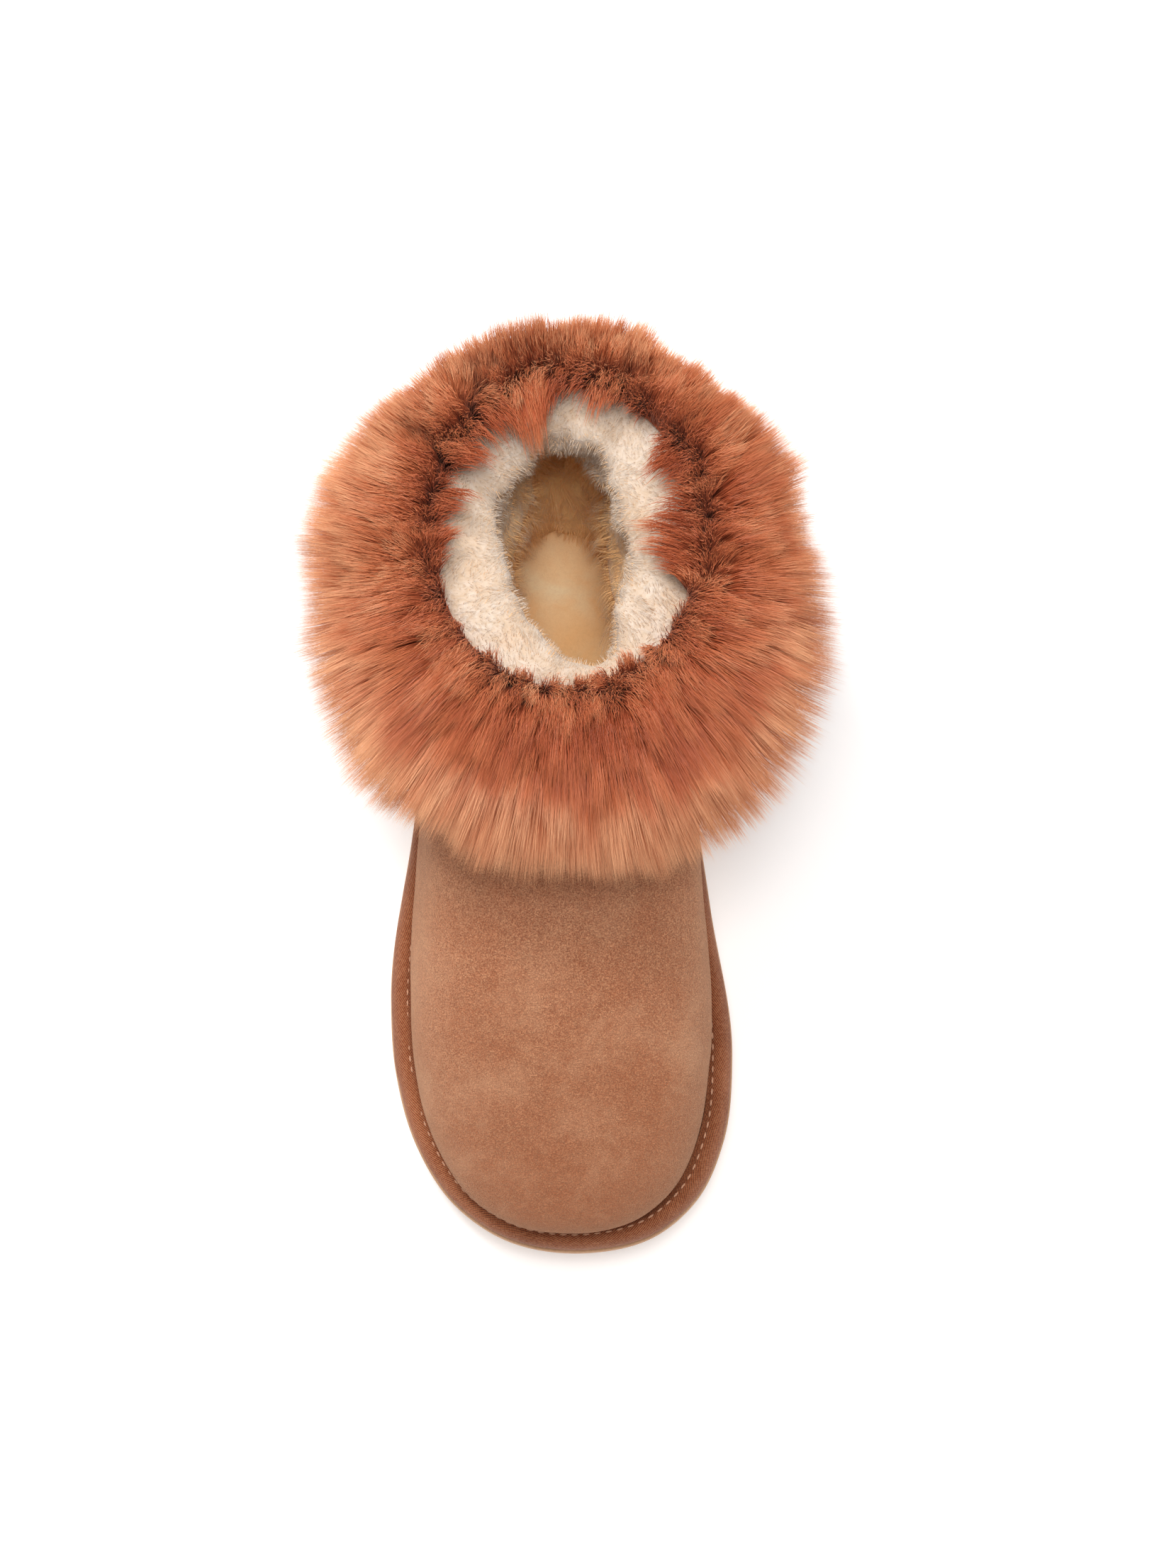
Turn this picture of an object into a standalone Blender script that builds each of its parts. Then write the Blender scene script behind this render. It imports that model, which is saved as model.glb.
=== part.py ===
"""A right sheepskin ankle boot with a deep fur cuff, built from the pieces that a maker would join.

Metres, +Z up. The toe points towards -Y and the inner side of the foot faces +X. The origin is on the
floor, at the middle of the heel's flat spot.
"""

import math
from collections import namedtuple

import bmesh
import bpy

MM = 0.001

# Sizes of the footprint, measured over the binding
FOOT_LENGTH = 250 * MM
BALL_WIDTH = 100 * MM
HEEL_SPOT = 36 * MM  # from the back of the heel to the origin

# Sizes of the sole
HEEL_THICKNESS = 22 * MM
BALL_THICKNESS = 14 * MM
TOE_THICKNESS = 13 * MM
TOE_SPRING = 7 * MM
ARCH_RISE = 2 * MM
HEEL_BEVEL = 2.5 * MM
SOLE_LIP_REACH = 0.6 * MM  # past the binding
SOLE_LIP_HEIGHT = 4 * MM
SOLE_STEP = 1.4 * MM  # from the lip in to the side wall
SOLE_UNDERCUT = 3.2 * MM
SOLE_BEVEL = 2.5 * MM
SOLE_EDGE = 0.8 * MM

# Sizes of the tread
GROOVE_DEPTH = 2.5 * MM
GROOVE_WIDTH = 2.6 * MM
GROOVE_PITCH = 11 * MM

# Sizes of the binding, the taped edge that closes the upper to the sole
BINDING_WIDTH = 7 * MM
BINDING_HEIGHT = 8.5 * MM

# Sizes of the upper, a wool-on sheepskin
WALL = 7 * MM  # 1.5 of skin and 5.5 of wool
INSTEP_HEIGHT = 56 * MM  # above the sole
COLLAR_HEIGHT = 100 * MM  # above the sole
RIM_ROUNDING = 1.5 * MM

INSOLE_THICKNESS = 5 * MM
INSOLE_ROUNDING = 1.2 * MM

# Sizes of the fur cuff
FUR_DEPTH = 46 * MM  # out to the tips where it is deepest
FUR_CROWN = 16 * MM  # above the collar
CUFF_DROP_BACK = 50 * MM  # below the collar
CUFF_DROP_FRONT = 40 * MM
LOCK_LENGTH = 12 * MM
LIP_REACH = 6 * MM  # over the collar's rim, inwards

GAP = 0.3 * MM  # between pieces that touch
CUFF_GAP = 0.5 * MM  # between the cuff and the curved shaft
INSOLE_GAP = 0.6 * MM

STEPS_AROUND_SOLE = 72
STEPS_AROUND_LEG = 44  # on the upper, and as many locks in a row of the cuff

HEEL_BACK_Y = HEEL_SPOT

# The outline seen from above, from the back of the heel, round the inner side to the toe, and back
Corner = namedtuple("Corner", "along across")  # shares of the length and of half the ball width
OUTLINE = [
    Corner(0.000, 0.00),
    Corner(0.035, 0.44),
    Corner(0.130, 0.71),
    Corner(0.370, 0.73),
    Corner(0.590, 0.875),
    Corner(0.770, 1.00),
    Corner(0.870, 0.945),
    Corner(0.935, 0.80),
    Corner(0.980, 0.55),
    Corner(1.000, 0.13),
    Corner(0.984, -0.33),
    Corner(0.943, -0.62),
    Corner(0.875, -0.84),
    Corner(0.790, -0.965),
    Corner(0.700, -1.00),
    Corner(0.490, -0.87),
    Corner(0.300, -0.77),
    Corner(0.130, -0.72),
    Corner(0.035, -0.44),
]
TOE_CORNER = 9

# The upper's sections. Each is a closed ring from a back end to a front end.
Ring = namedtuple("Ring", "name front back instep shaft heel width waist back_lean front_lean oval follow")
# front and back: how far each end is set in from the lowest ring's, as shares of the foot length.
# instep and shaft: the front end's height, as shares of the instep and of the shaft above it.
# heel: the back end's height, as a share of the collar's. width: a share of the lowest ring's.
# waist: how much wider still the ring is at the waist. back_lean and front_lean: how far its ends are
# moved towards the inner side, as shares of the lowest ring's half width.
# oval: 0 for the sole's outline, 1 for the leg's oval. follow: how much it follows the sole's curve.
UPPER_RINGS = [
    Ring("feather edge", 0.000, 0.000, 0.00, 0.00, 0.000, 1.000, 0.00, 0.000, 0.000, 0.00, 1.00),
    Ring("binding top", 0.000, 0.000, 0.17, 0.00, 0.095, 1.000, 0.00, 0.000, 0.000, 0.00, 1.00),
    Ring("toe bulge", -0.015, -0.005, 0.30, 0.00, 0.170, 1.020, 0.07, 0.006, -0.040, 0.04, 1.00),
    Ring("toe wall", -0.011, -0.010, 0.43, 0.00, 0.260, 1.020, 0.09, 0.010, -0.040, 0.10, 0.90),
    Ring("toe cap", 0.014, -0.012, 0.53, 0.00, 0.340, 0.990, 0.09, 0.016, -0.030, 0.18, 0.75),
    Ring("toe top", 0.062, -0.010, 0.60, 0.00, 0.410, 0.960, 0.07, 0.024, -0.005, 0.28, 0.55),
    Ring("low vamp", 0.142, -0.006, 0.67, 0.00, 0.480, 0.940, 0.05, 0.034, 0.015, 0.40, 0.35),
    Ring("vamp", 0.232, -0.001, 0.755, 0.00, 0.550, 0.935, 0.03, 0.042, 0.030, 0.54, 0.20),
    Ring("high vamp", 0.320, 0.005, 0.865, 0.00, 0.620, 0.940, 0.01, 0.048, 0.042, 0.70, 0.10),
    Ring("instep", 0.402, 0.013, 1.00, 0.00, 0.690, 0.955, 0.00, 0.048, 0.048, 0.84, 0.00),
    Ring("throat", 0.468, 0.021, 1.00, 0.27, 0.775, 0.975, 0.00, 0.048, 0.048, 0.95, 0.00),
    Ring("low shaft", 0.504, 0.028, 1.00, 0.58, 0.865, 0.990, 0.00, 0.048, 0.048, 1.00, 0.00),
    Ring("shaft", 0.516, 0.032, 1.00, 0.81, 0.940, 1.000, 0.00, 0.048, 0.048, 1.00, 0.00),
    Ring("collar", 0.519, 0.034, 1.00, 1.00, 1.000, 1.000, 0.00, 0.048, 0.048, 1.00, 0.00),
]
COLLAR_RING = len(UPPER_RINGS) - 1
OUTER_RINGS = 2 * COLLAR_RING
INNER_RINGS = COLLAR_RING

# The fur's depth out to the tips of its locks, as shares of its greatest, in even steps around the leg
Place = namedtuple("Place", "name depth")
FUR_PLACES = [
    Place("back", 0.435),
    Place("inner back", 0.455),
    Place("inner side", 0.63),
    Place("inner front", 1.00),
    Place("front", 0.955),
    Place("outer front", 0.87),
    Place("outer side", 0.67),
    Place("outer back", 0.43),
]

# The cuff's section outside the shaft: reach as a share of the fur's depth, rise as a share of its height
Stop = namedtuple("Stop", "reach rise")
CUFF_SECTION = [
    Stop(0.80, 0.00),
    Stop(1.00, 0.08),
    Stop(1.02, 0.24),
    Stop(0.93, 0.45),
    Stop(0.77, 0.66),
    Stop(0.52, 0.85),
    Stop(0.20, 1.00),
]
HEM_RING_BACK = 8.6  # where the cuff's inner face starts, counted in the upper's rings
HEM_RING_FRONT = 10.2
HEM_STEPS = 4


def mix(a, b, share):
    return a + (b - a) * share


def smooth_step(share):
    share = min(max(share, 0.0), 1.0)
    return share * share * (3 - 2 * share)


def hermite(before, start, end, after, share, steps=(1, 1, 1)):
    """A smooth curve from start to end. steps are the distances between its four points in turn."""
    first, span, last = steps
    leave = ((start - before) / first * span + (end - start) / span * first) / (first + span) * span
    arrive = ((end - start) / span * last + (after - end) / last * span) / (span + last) * span
    square, cube = share**2, share**3
    return (
        start * (2 * cube - 3 * square + 1)
        + leave * (cube - 2 * square + share)
        + end * (3 * square - 2 * cube)
        + arrive * (cube - square)
    )


def table_value(values, place):
    """The smooth value of a column of evenly spaced rows at a fractional row."""
    last = len(values) - 1
    row = min(int(place), last - 1)
    picks = [values[min(max(k, 0), last)] for k in range(row - 1, row + 3)]
    return hermite(*picks, place - row)


def dense_outline(steps=24):
    """The footprint as many points, equally spaced along each side between heel and toe."""
    count = len(OUTLINE)
    xs = [corner.across * BALL_WIDTH / 2 for corner in OUTLINE]
    ys = [HEEL_BACK_Y - corner.along * FOOT_LENGTH for corner in OUTLINE]
    sides = []
    for first, last in ((0, TOE_CORNER), (TOE_CORNER, count)):
        path = []
        for k in range(first, last):
            picks = [(k + step) % count for step in (-1, 0, 1, 2)]
            spans = [math.hypot(xs[q] - xs[p], ys[q] - ys[p]) for p, q in zip(picks, picks[1:])]
            for s in range(steps):
                x = hermite(*[xs[p] for p in picks], s / steps, spans)
                y = hermite(*[ys[p] for p in picks], s / steps, spans)
                path.append((x, y))
        path.append((xs[last % count], ys[last % count]))
        sides.append(evenly(path, SIDE_SAMPLES))
    return sides[0][:-1] + sides[1][:-1]


def evenly(path, count):
    """count + 1 points at equal distances along a path."""
    lengths = [0.0]
    for a, b in zip(path, path[1:]):
        lengths.append(lengths[-1] + math.dist(a, b))
    points, k = [], 0
    for n in range(count + 1):
        target = lengths[-1] * n / count
        while k < len(path) - 2 and lengths[k + 1] < target:
            k += 1
        share = (target - lengths[k]) / (lengths[k + 1] - lengths[k])
        points.append(tuple(mix(path[k][axis], path[k + 1][axis], share) for axis in (0, 1)))
    return points


SIDE_SAMPLES = 160
FOOTPRINT = dense_outline()


def outline_point(turn, inset):
    """A point of the footprint, moved inwards. turn runs from 0 at the heel to 1, by way of the toe."""
    count = len(FOOTPRINT)
    place = (turn % 1.0) * count
    k = int(place)
    here, there = FOOTPRINT[k % count], FOOTPRINT[(k + 1) % count]
    x, y = (mix(here[axis], there[axis], place - k) for axis in (0, 1))
    behind, ahead = FOOTPRINT[(k - 3) % count], FOOTPRINT[(k + 4) % count]
    along_x, along_y = ahead[0] - behind[0], ahead[1] - behind[1]
    length = math.hypot(along_x, along_y)
    return x + inset * along_y / length, y - inset * along_x / length


def length_share(y):
    return (HEEL_BACK_Y - y) / FOOT_LENGTH


def sole_bottom(y):
    """Height of the tread's plane: flat under the heel and the ball, raised at the arch and the toe."""
    share = length_share(y)
    arch = smooth_step((share - 0.32) / 0.10) * smooth_step((0.60 - share) / 0.10)
    toe = max(0.0, (share - 0.80) / 0.20) ** 2
    heel = max(0.0, (0.07 - share) / 0.07) ** 2
    return ARCH_RISE * arch + TOE_SPRING * toe + HEEL_BEVEL * heel


def sole_top(y):
    """Height of the footbed side of the sole."""
    share = min(max(length_share(y), 0.0), 1.0)
    fall = smooth_step((share - 0.22) / 0.46)
    toe = smooth_step((share - 0.74) / 0.26)
    thickness = mix(mix(HEEL_THICKNESS, BALL_THICKNESS, fall), TOE_THICKNESS, toe)
    return thickness + TOE_SPRING * max(0.0, (share - 0.80) / 0.20) ** 2


UPPER_INSET = BINDING_WIDTH + GAP
LOWEST_BACK = outline_point(0.0, UPPER_INSET)[1]
LOWEST_FRONT = min(outline_point(k / 400, UPPER_INSET)[1] for k in range(150, 250))
LOWEST_HALF_WIDTH = BALL_WIDTH / 2 - UPPER_INSET
COLUMNS = {name: [getattr(ring, name) for ring in UPPER_RINGS] for name in Ring._fields[1:]}


def upper_point(turn, level):
    """A point of the upper's outside. level counts the rows of UPPER_RINGS."""
    row = {name: table_value(values, level) for name, values in COLUMNS.items()}
    x, y = outline_point(turn, UPPER_INSET)
    share = (LOWEST_BACK - y) / (LOWEST_BACK - LOWEST_FRONT)
    angle = 2 * math.pi * turn
    share = mix(share, (1 - math.cos(angle)) / 2, row["oval"])
    across = mix(x / LOWEST_HALF_WIDTH, math.sin(angle), row["oval"])
    back = LOWEST_BACK - row["back"] * FOOT_LENGTH
    front = LOWEST_FRONT + row["front"] * FOOT_LENGTH
    waist_end = 0.88 if across > 0 else 0.74
    bulge = smooth_step((waist_end - share) / 0.30) * smooth_step(share / 0.35)
    width = row["width"] + row["waist"] * bulge
    lean = mix(row["back_lean"], row["front_lean"], share**4)
    x = (across * width + lean) * LOWEST_HALF_WIDTH
    y = mix(back, front, share)
    front_rise = INSTEP_HEIGHT * row["instep"] + (COLLAR_HEIGHT - INSTEP_HEIGHT) * row["shaft"]
    rise = mix(COLLAR_HEIGHT * row["heel"], front_rise, share)
    seat = mix(HEEL_THICKNESS, sole_top(y), row["follow"]) + GAP
    return (x, y, seat + rise)


def cross(a, b):
    return (a[1] * b[2] - a[2] * b[1], a[2] * b[0] - a[0] * b[2], a[0] * b[1] - a[1] * b[0])


def unit(vector):
    length = math.sqrt(sum(part * part for part in vector))
    return [part / length for part in vector]


def upper_normal(turn, level):
    """The outward direction of the upper's outside."""
    step_turn, step_level = 0.004, 0.05
    low, high = max(level - step_level, 0.0), min(level + step_level, COLLAR_RING)
    before, after = upper_point(turn - step_turn, level), upper_point(turn + step_turn, level)
    under, over = upper_point(turn, low), upper_point(turn, high)
    along = [q - p for p, q in zip(before, after)]
    up = [q - p for p, q in zip(under, over)]
    return unit(cross(up, along))


def moved(point, direction, distance):
    return tuple(p + d * distance for p, d in zip(point, direction))


def turns(count, shift=0.0):
    return [(k + shift) / count for k in range(count)]


def material(name, colour, roughness):
    made = bpy.data.materials.new(name)
    made.use_nodes = True
    shader = made.node_tree.nodes["Principled BSDF"]
    shader.inputs["Base Color"].default_value = (*colour, 1.0)
    shader.inputs["Roughness"].default_value = roughness
    made.diffuse_color = (*colour, 1.0)
    return made


def add_object(name, mesh, surface):
    piece = bpy.data.objects.new(name, mesh)
    bpy.context.scene.collection.objects.link(piece)
    mesh.materials.append(surface)
    mesh.shade_smooth()
    mesh.set_sharp_from_angle(angle=math.radians(40))
    return piece


def bridge(bm, lower, upper):
    """Quads between two rings of the same number of vertices."""
    count = len(lower)
    for k in range(count):
        after = (k + 1) % count
        bm.faces.new((lower[k], lower[after], upper[after], upper[k]))


def finished(bm, name, surface):
    bmesh.ops.recalc_face_normals(bm, faces=bm.faces)
    mesh = bpy.data.meshes.new(name)
    bm.to_mesh(mesh)
    bm.free()
    return add_object(name, mesh, surface)


def sleeve(name, rings, surface):
    """A closed wall: rings up the outside, over the top, down the inside and back to the first."""
    bm = bmesh.new()
    loops = [[bm.verts.new(point) for point in ring] for ring in rings]
    for lower, upper in zip(loops, loops[1:] + loops[:1]):
        bridge(bm, lower, upper)
    return finished(bm, name, surface)


def slab(name, rings, surface):
    """A solid from rings, closed below and above by strips from one side of the foot to the other."""
    bm = bmesh.new()
    loops = [[bm.verts.new(point) for point in ring] for ring in rings]
    for lower, upper in zip(loops, loops[1:]):
        bridge(bm, lower, upper)
    for loop in (loops[0], loops[-1]):
        close_across(bm, loop)
    return finished(bm, name, surface)


def close_across(bm, loop):
    """Strips between the points that face each other on the two sides of the foot."""
    count = len(loop)
    half = count // 2
    bm.faces.new((loop[0], loop[1], loop[count - 1]))
    for k in range(1, half - 1):
        bm.faces.new((loop[k], loop[k + 1], loop[count - k - 1], loop[count - k]))
    bm.faces.new((loop[half - 1], loop[half], loop[half + 1]))


def outline_ring(inset, height, count):
    """A ring of the footprint. height gives each point's z from its y."""
    points = [outline_point(turn, inset) for turn in turns(count)]
    return [(x, y, height(y)) for x, y in points]


def build_outsole(surface):
    """The moulded sole: undercut wall, a step, and a lip that the binding sits on."""
    lip = -SOLE_LIP_REACH
    wall = lip + SOLE_STEP
    rings = [
        outline_ring(wall + SOLE_UNDERCUT, sole_bottom, STEPS_AROUND_SOLE),
        outline_ring(wall + 0.5 * SOLE_UNDERCUT, lambda y: sole_bottom(y) + SOLE_BEVEL, STEPS_AROUND_SOLE),
        outline_ring(wall, lambda y: sole_top(y) - SOLE_LIP_HEIGHT - SOLE_STEP, STEPS_AROUND_SOLE),
        outline_ring(lip, lambda y: sole_top(y) - SOLE_LIP_HEIGHT, STEPS_AROUND_SOLE),
        outline_ring(lip, lambda y: sole_top(y) - SOLE_EDGE, STEPS_AROUND_SOLE),
        outline_ring(lip + SOLE_EDGE, sole_top, STEPS_AROUND_SOLE),
    ]
    sole = slab("outsole", rings, surface)
    cut_tread(sole)
    return sole


def cut_tread(sole):
    """Straight grooves across the heel and the forefoot, with lugs of one pitch between them."""
    bm = bmesh.new()
    half_width = BALL_WIDTH
    for y in groove_places():
        top = sole_bottom(y) + GROOVE_DEPTH
        corners = [
            bm.verts.new((x, y + side * GROOVE_WIDTH / 2, z))
            for z in (sole_bottom(y) - GROOVE_DEPTH, top)
            for x, side in ((-half_width, -1), (half_width, -1), (half_width, 1), (-half_width, 1))
        ]
        bridge(bm, corners[:4], corners[4:])
        bm.faces.new(corners[:4])
        bm.faces.new(corners[4:])
    bmesh.ops.recalc_face_normals(bm, faces=bm.faces)
    mesh = bpy.data.meshes.new("tread_cutter")
    bm.to_mesh(mesh)
    bm.free()
    cutter = bpy.data.objects.new("tread_cutter", mesh)
    bpy.context.scene.collection.objects.link(cutter)
    cutter.display_type = "WIRE"
    cutter.hide_render = True
    cut = sole.modifiers.new("tread", "BOOLEAN")
    cut.operation = "DIFFERENCE"
    cut.object = cutter


def groove_places():
    """The grooves' y values: half a pitch either side of each flat spot's middle, and on from there."""
    places = []
    for middle, grooves in ((0.0, HEEL_GROOVES), (BALL_SPOT_Y, BALL_GROOVES)):
        first = middle - (grooves - 1) / 2 * GROOVE_PITCH
        places += [first + k * GROOVE_PITCH for k in range(grooves)]
    return places


HEEL_GROOVES = 4
BALL_GROOVES = 8
BALL_SPOT_Y = HEEL_BACK_Y - 0.70 * FOOT_LENGTH


def build_binding(surface):
    """The taped edge: a soft band on the sole's lip, dipped where the seam pulls it down."""
    section = [
        (0.03, 0.0),
        (0.0, 0.2),
        (0.0, 0.55),
        (0.09, 0.78),
        (0.28, 0.94),
        (0.55, 1.0),
        (0.82, 0.93),
        (1.0, 0.84),
        (1.0, 0.0),
    ]
    rings = [
        outline_ring(
            inset * BINDING_WIDTH,
            lambda y, rise=rise: sole_top(y) + mix(GAP, BINDING_HEIGHT, rise),
            STEPS_AROUND_SOLE,
        )
        for inset, rise in section
    ]
    return sleeve("binding", rings, surface)


def build_insole(surface):
    """The footbed, which lies on the sole inside the upper's wall."""
    inset = UPPER_INSET + WALL + INSOLE_GAP
    top = GAP + INSOLE_THICKNESS
    rings = [
        outline_ring(inset, lambda y: sole_top(y) + GAP, STEPS_AROUND_SOLE),
        outline_ring(inset, lambda y: sole_top(y) + top - INSOLE_ROUNDING, STEPS_AROUND_SOLE),
        outline_ring(inset + INSOLE_ROUNDING, lambda y: sole_top(y) + top, STEPS_AROUND_SOLE),
    ]
    return slab("insole", rings, surface)


def build_upper(surface):
    """The hollow sheepskin: its outside, the rounded rim, and the inside one wall further in."""
    around = turns(STEPS_AROUND_LEG)
    outside = [
        [upper_point(turn, COLLAR_RING * k / OUTER_RINGS) for turn in around]
        for k in range(OUTER_RINGS + 1)
    ]
    inside = []
    for k in range(INNER_RINGS, -1, -1):
        level = COLLAR_RING * k / INNER_RINGS
        ring = [
            moved(upper_point(turn, level), upper_normal(turn, level), -WALL) for turn in around
        ]
        inside.append(ring)
    inside[-1] = [(x, y, sole_top(y) + GAP) for x, y, _ in inside[-1]]
    collar, inner_collar = outside[-1], inside[0]
    rim = [
        (mix(a[0], b[0], 0.5), mix(a[1], b[1], 0.5), a[2] + RIM_ROUNDING)
        for a, b in zip(collar, inner_collar)
    ]
    inside[0] = [(b[0], b[1], a[2]) for a, b in zip(collar, inner_collar)]
    return sleeve("upper", outside + [rim] + inside, surface)


def cuff_sizes(turn):
    """Depth, hem ring and lowest height of the cuff at this place around the leg."""
    front = (1 - math.cos(2 * math.pi * turn)) / 2
    place = (turn % 1.0) * len(FUR_PLACES)
    picks = [FUR_PLACES[(int(place) + k) % len(FUR_PLACES)].depth for k in (-1, 0, 1, 2)]
    depth = FUR_DEPTH * hermite(*picks, place % 1.0)
    drop = mix(CUFF_DROP_BACK, CUFF_DROP_FRONT, front)
    hem = mix(HEM_RING_BACK, HEM_RING_FRONT, front)
    return depth, drop, hem


def cuff_ring_points(turn):
    """The cuff's closed section at this place: its outside from hem to crown, then its inner face."""
    depth, drop, hem = cuff_sizes(turn)
    rim = upper_point(turn, COLLAR_RING)
    normal = upper_normal(turn, COLLAR_RING)
    flat = math.hypot(normal[0], normal[1])
    out = (normal[0] / flat, normal[1] / flat, 0.0)
    body_depth = depth - 0.6 * LOCK_LENGTH
    low = rim[2] - drop + 0.5 * LOCK_LENGTH
    high = rim[2] + FUR_CROWN - 0.6 * LOCK_LENGTH
    outside = []
    for stop in CUFF_SECTION:
        x, y, _ = moved(rim, out, stop.reach * body_depth)
        outside.append((x, y, mix(low, high, stop.rise)))
    lip_x, lip_y, _ = moved(rim, out, -LIP_REACH)
    lip = (lip_x, lip_y, rim[2] + RIM_ROUNDING + 2 * GAP)
    crown = (lip_x, lip_y, high - 0.25 * FUR_CROWN)
    inner = []
    for k in range(HEM_STEPS, -1, -1):
        level = mix(hem, COLLAR_RING, k / HEM_STEPS)
        inner.append(moved(upper_point(turn, level), upper_normal(turn, level), CUFF_GAP))
    over_x, over_y, _ = inner[0]
    over = (over_x, over_y, lip[2])
    return outside + [crown], [lip, over] + inner


def lock_directions(points, centre):
    """Straight out from a lock's base, and the way its hair is combed."""
    edge_a = [q - p for p, q in zip(points[0], points[2])]
    edge_b = [q - p for p, q in zip(points[1], points[3])]
    out = unit(cross(edge_b, edge_a))
    comb = unit([(a + b) / 2 - c for a, b, c in zip(points[0], points[1], centre)])
    return out, comb


def build_cuff(surface):
    """The fur cuff: a bell-shaped band round the shaft with rows of pointed locks fused to it."""
    bm = bmesh.new()
    rows = len(CUFF_SECTION) + 1
    loops = []
    for row in range(rows):
        shift = 0.5 * (row % 2)
        loops.append([cuff_ring_points(turn)[0][row] for turn in turns(STEPS_AROUND_LEG, shift)])
    sections = [cuff_ring_points(turn)[1] for turn in turns(STEPS_AROUND_LEG)]
    inner = [list(ring) for ring in zip(*sections)]
    inner_count = len(inner)
    outer_verts = [[bm.verts.new(point) for point in loop] for loop in loops]
    inner_verts = [[bm.verts.new(point) for point in loop] for loop in inner]
    for row in range(rows - 1):
        add_locks(bm, outer_verts[row], outer_verts[row + 1], row)
    bridge(bm, outer_verts[-1], inner_verts[0])
    for row in range(inner_count - 1):
        bridge(bm, inner_verts[row], inner_verts[row + 1])
    bridge(bm, inner_verts[-1], outer_verts[0])
    return finished(bm, "fur_cuff", surface)


def add_locks(bm, lower, upper, row):
    """One lock on each quad between two rows of the cuff. The rows lean to either side in turn."""
    count = len(lower)
    lean = 0 if row % 2 else -1
    for k in range(count):
        after = (k + 1) % count
        corners = [lower[k], lower[after], upper[(after + lean) % count], upper[(k + lean) % count]]
        points = [tuple(corner.co) for corner in corners]
        centre = [sum(axis) / 4 for axis in zip(*points)]
        out, comb = lock_directions(points, centre)
        length = LOCK_LENGTH * (0.88 + 0.12 * math.sin(12.9 * k + 7.3 * row))
        bend = moved(moved((0, 0, 0), out, 0.45 * length), comb, 0.15 * length)
        tip_reach = moved(moved((0, 0, 0), out, 0.62 * length), comb, 0.95 * length)
        middle = [
            bm.verts.new([mix(c, p, 0.7) + b for c, p, b in zip(centre, point, bend)])
            for point in points
        ]
        tip = bm.verts.new([c + t for c, t in zip(centre, tip_reach)])
        bridge(bm, corners, middle)
        for n in range(4):
            bm.faces.new((middle[n], middle[(n + 1) % 4], tip))


def clear_scene():
    for piece in list(bpy.data.objects):
        bpy.data.objects.remove(piece)


def main():
    clear_scene()
    build_outsole(material("tan_foam_rubber", (0.62, 0.42, 0.27), 0.75))
    build_binding(material("brown_twill_tape", (0.24, 0.09, 0.045), 0.8))
    build_insole(material("peach_fleece_footbed", (0.68, 0.42, 0.24), 0.9))
    build_upper(material("chestnut_suede", (0.45, 0.2, 0.1), 0.95))
    build_cuff(material("rust_fur", (0.5, 0.18, 0.09), 0.85))


main()
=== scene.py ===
# %% [markdown]
# # A sheepskin ankle boot
#
# The boot is a wool-on sheepskin: suede outside, fleece inside. A taped edge joins it to a foam sole,
# and a strip of long fur is turned down round the collar. This lesson dresses the boot's solids piece by
# piece. Each piece says what it is on the real boot and why it is made in the way it is.

# %% The frame
import math

import bpy
import numpy as np
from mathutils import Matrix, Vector, noise


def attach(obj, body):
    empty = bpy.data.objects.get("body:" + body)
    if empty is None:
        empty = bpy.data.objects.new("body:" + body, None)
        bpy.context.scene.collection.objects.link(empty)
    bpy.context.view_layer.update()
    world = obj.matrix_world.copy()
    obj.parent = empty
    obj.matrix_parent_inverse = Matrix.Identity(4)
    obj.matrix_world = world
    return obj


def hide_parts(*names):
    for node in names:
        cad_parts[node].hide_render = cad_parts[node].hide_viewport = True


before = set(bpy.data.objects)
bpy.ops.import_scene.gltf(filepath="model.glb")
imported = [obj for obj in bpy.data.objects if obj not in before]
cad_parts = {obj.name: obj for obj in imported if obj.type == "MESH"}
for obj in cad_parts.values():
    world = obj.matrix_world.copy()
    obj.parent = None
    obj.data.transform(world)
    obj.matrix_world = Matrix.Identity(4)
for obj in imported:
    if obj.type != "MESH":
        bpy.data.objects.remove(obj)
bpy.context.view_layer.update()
MM = 0.001
print("solids:", sorted(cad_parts))

# %% [markdown]
# ## The shape's rules
#
# Two tables give the whole boot: the footprint's outline, and the rings that the upper is built from.
# They are the same rules as the solids follow, but worked out on arrays, so that each piece can have as
# many points as its surface needs.

# %% Smooth curves through a table
FOOT_LENGTH = 250 * MM
HALF_BALL = 50 * MM
HEEL_BACK_Y = 36 * MM


def mix(a, b, share):
    return a + (b - a) * share


def smooth_step(share):
    share = np.clip(share, 0.0, 1.0)
    return share * share * (3 - 2 * share)


def hermite(before, start, end, after, share, steps=(1, 1, 1)):
    """A smooth curve from start to end. steps are the distances between its four points in turn."""
    first, span, last = steps
    leave = ((start - before) / first * span + (end - start) / span * first) / (first + span) * span
    arrive = ((end - start) / span * last + (after - end) / last * span) / (span + last) * span
    square, cube = share**2, share**3
    return (
        start * (2 * cube - 3 * square + 1)
        + leave * (cube - 2 * square + share)
        + end * (3 * square - 2 * cube)
        + arrive * (cube - square)
    )


def along_table(values, place):
    """The smooth value of evenly spaced rows at fractional rows."""
    values = np.asarray(values)
    last = len(values) - 1
    row = np.clip(np.floor(place).astype(int), 0, last - 1)
    picks = [values[np.clip(row + step, 0, last)] for step in (-1, 0, 1, 2)]
    return hermite(*picks, place - row)


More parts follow.
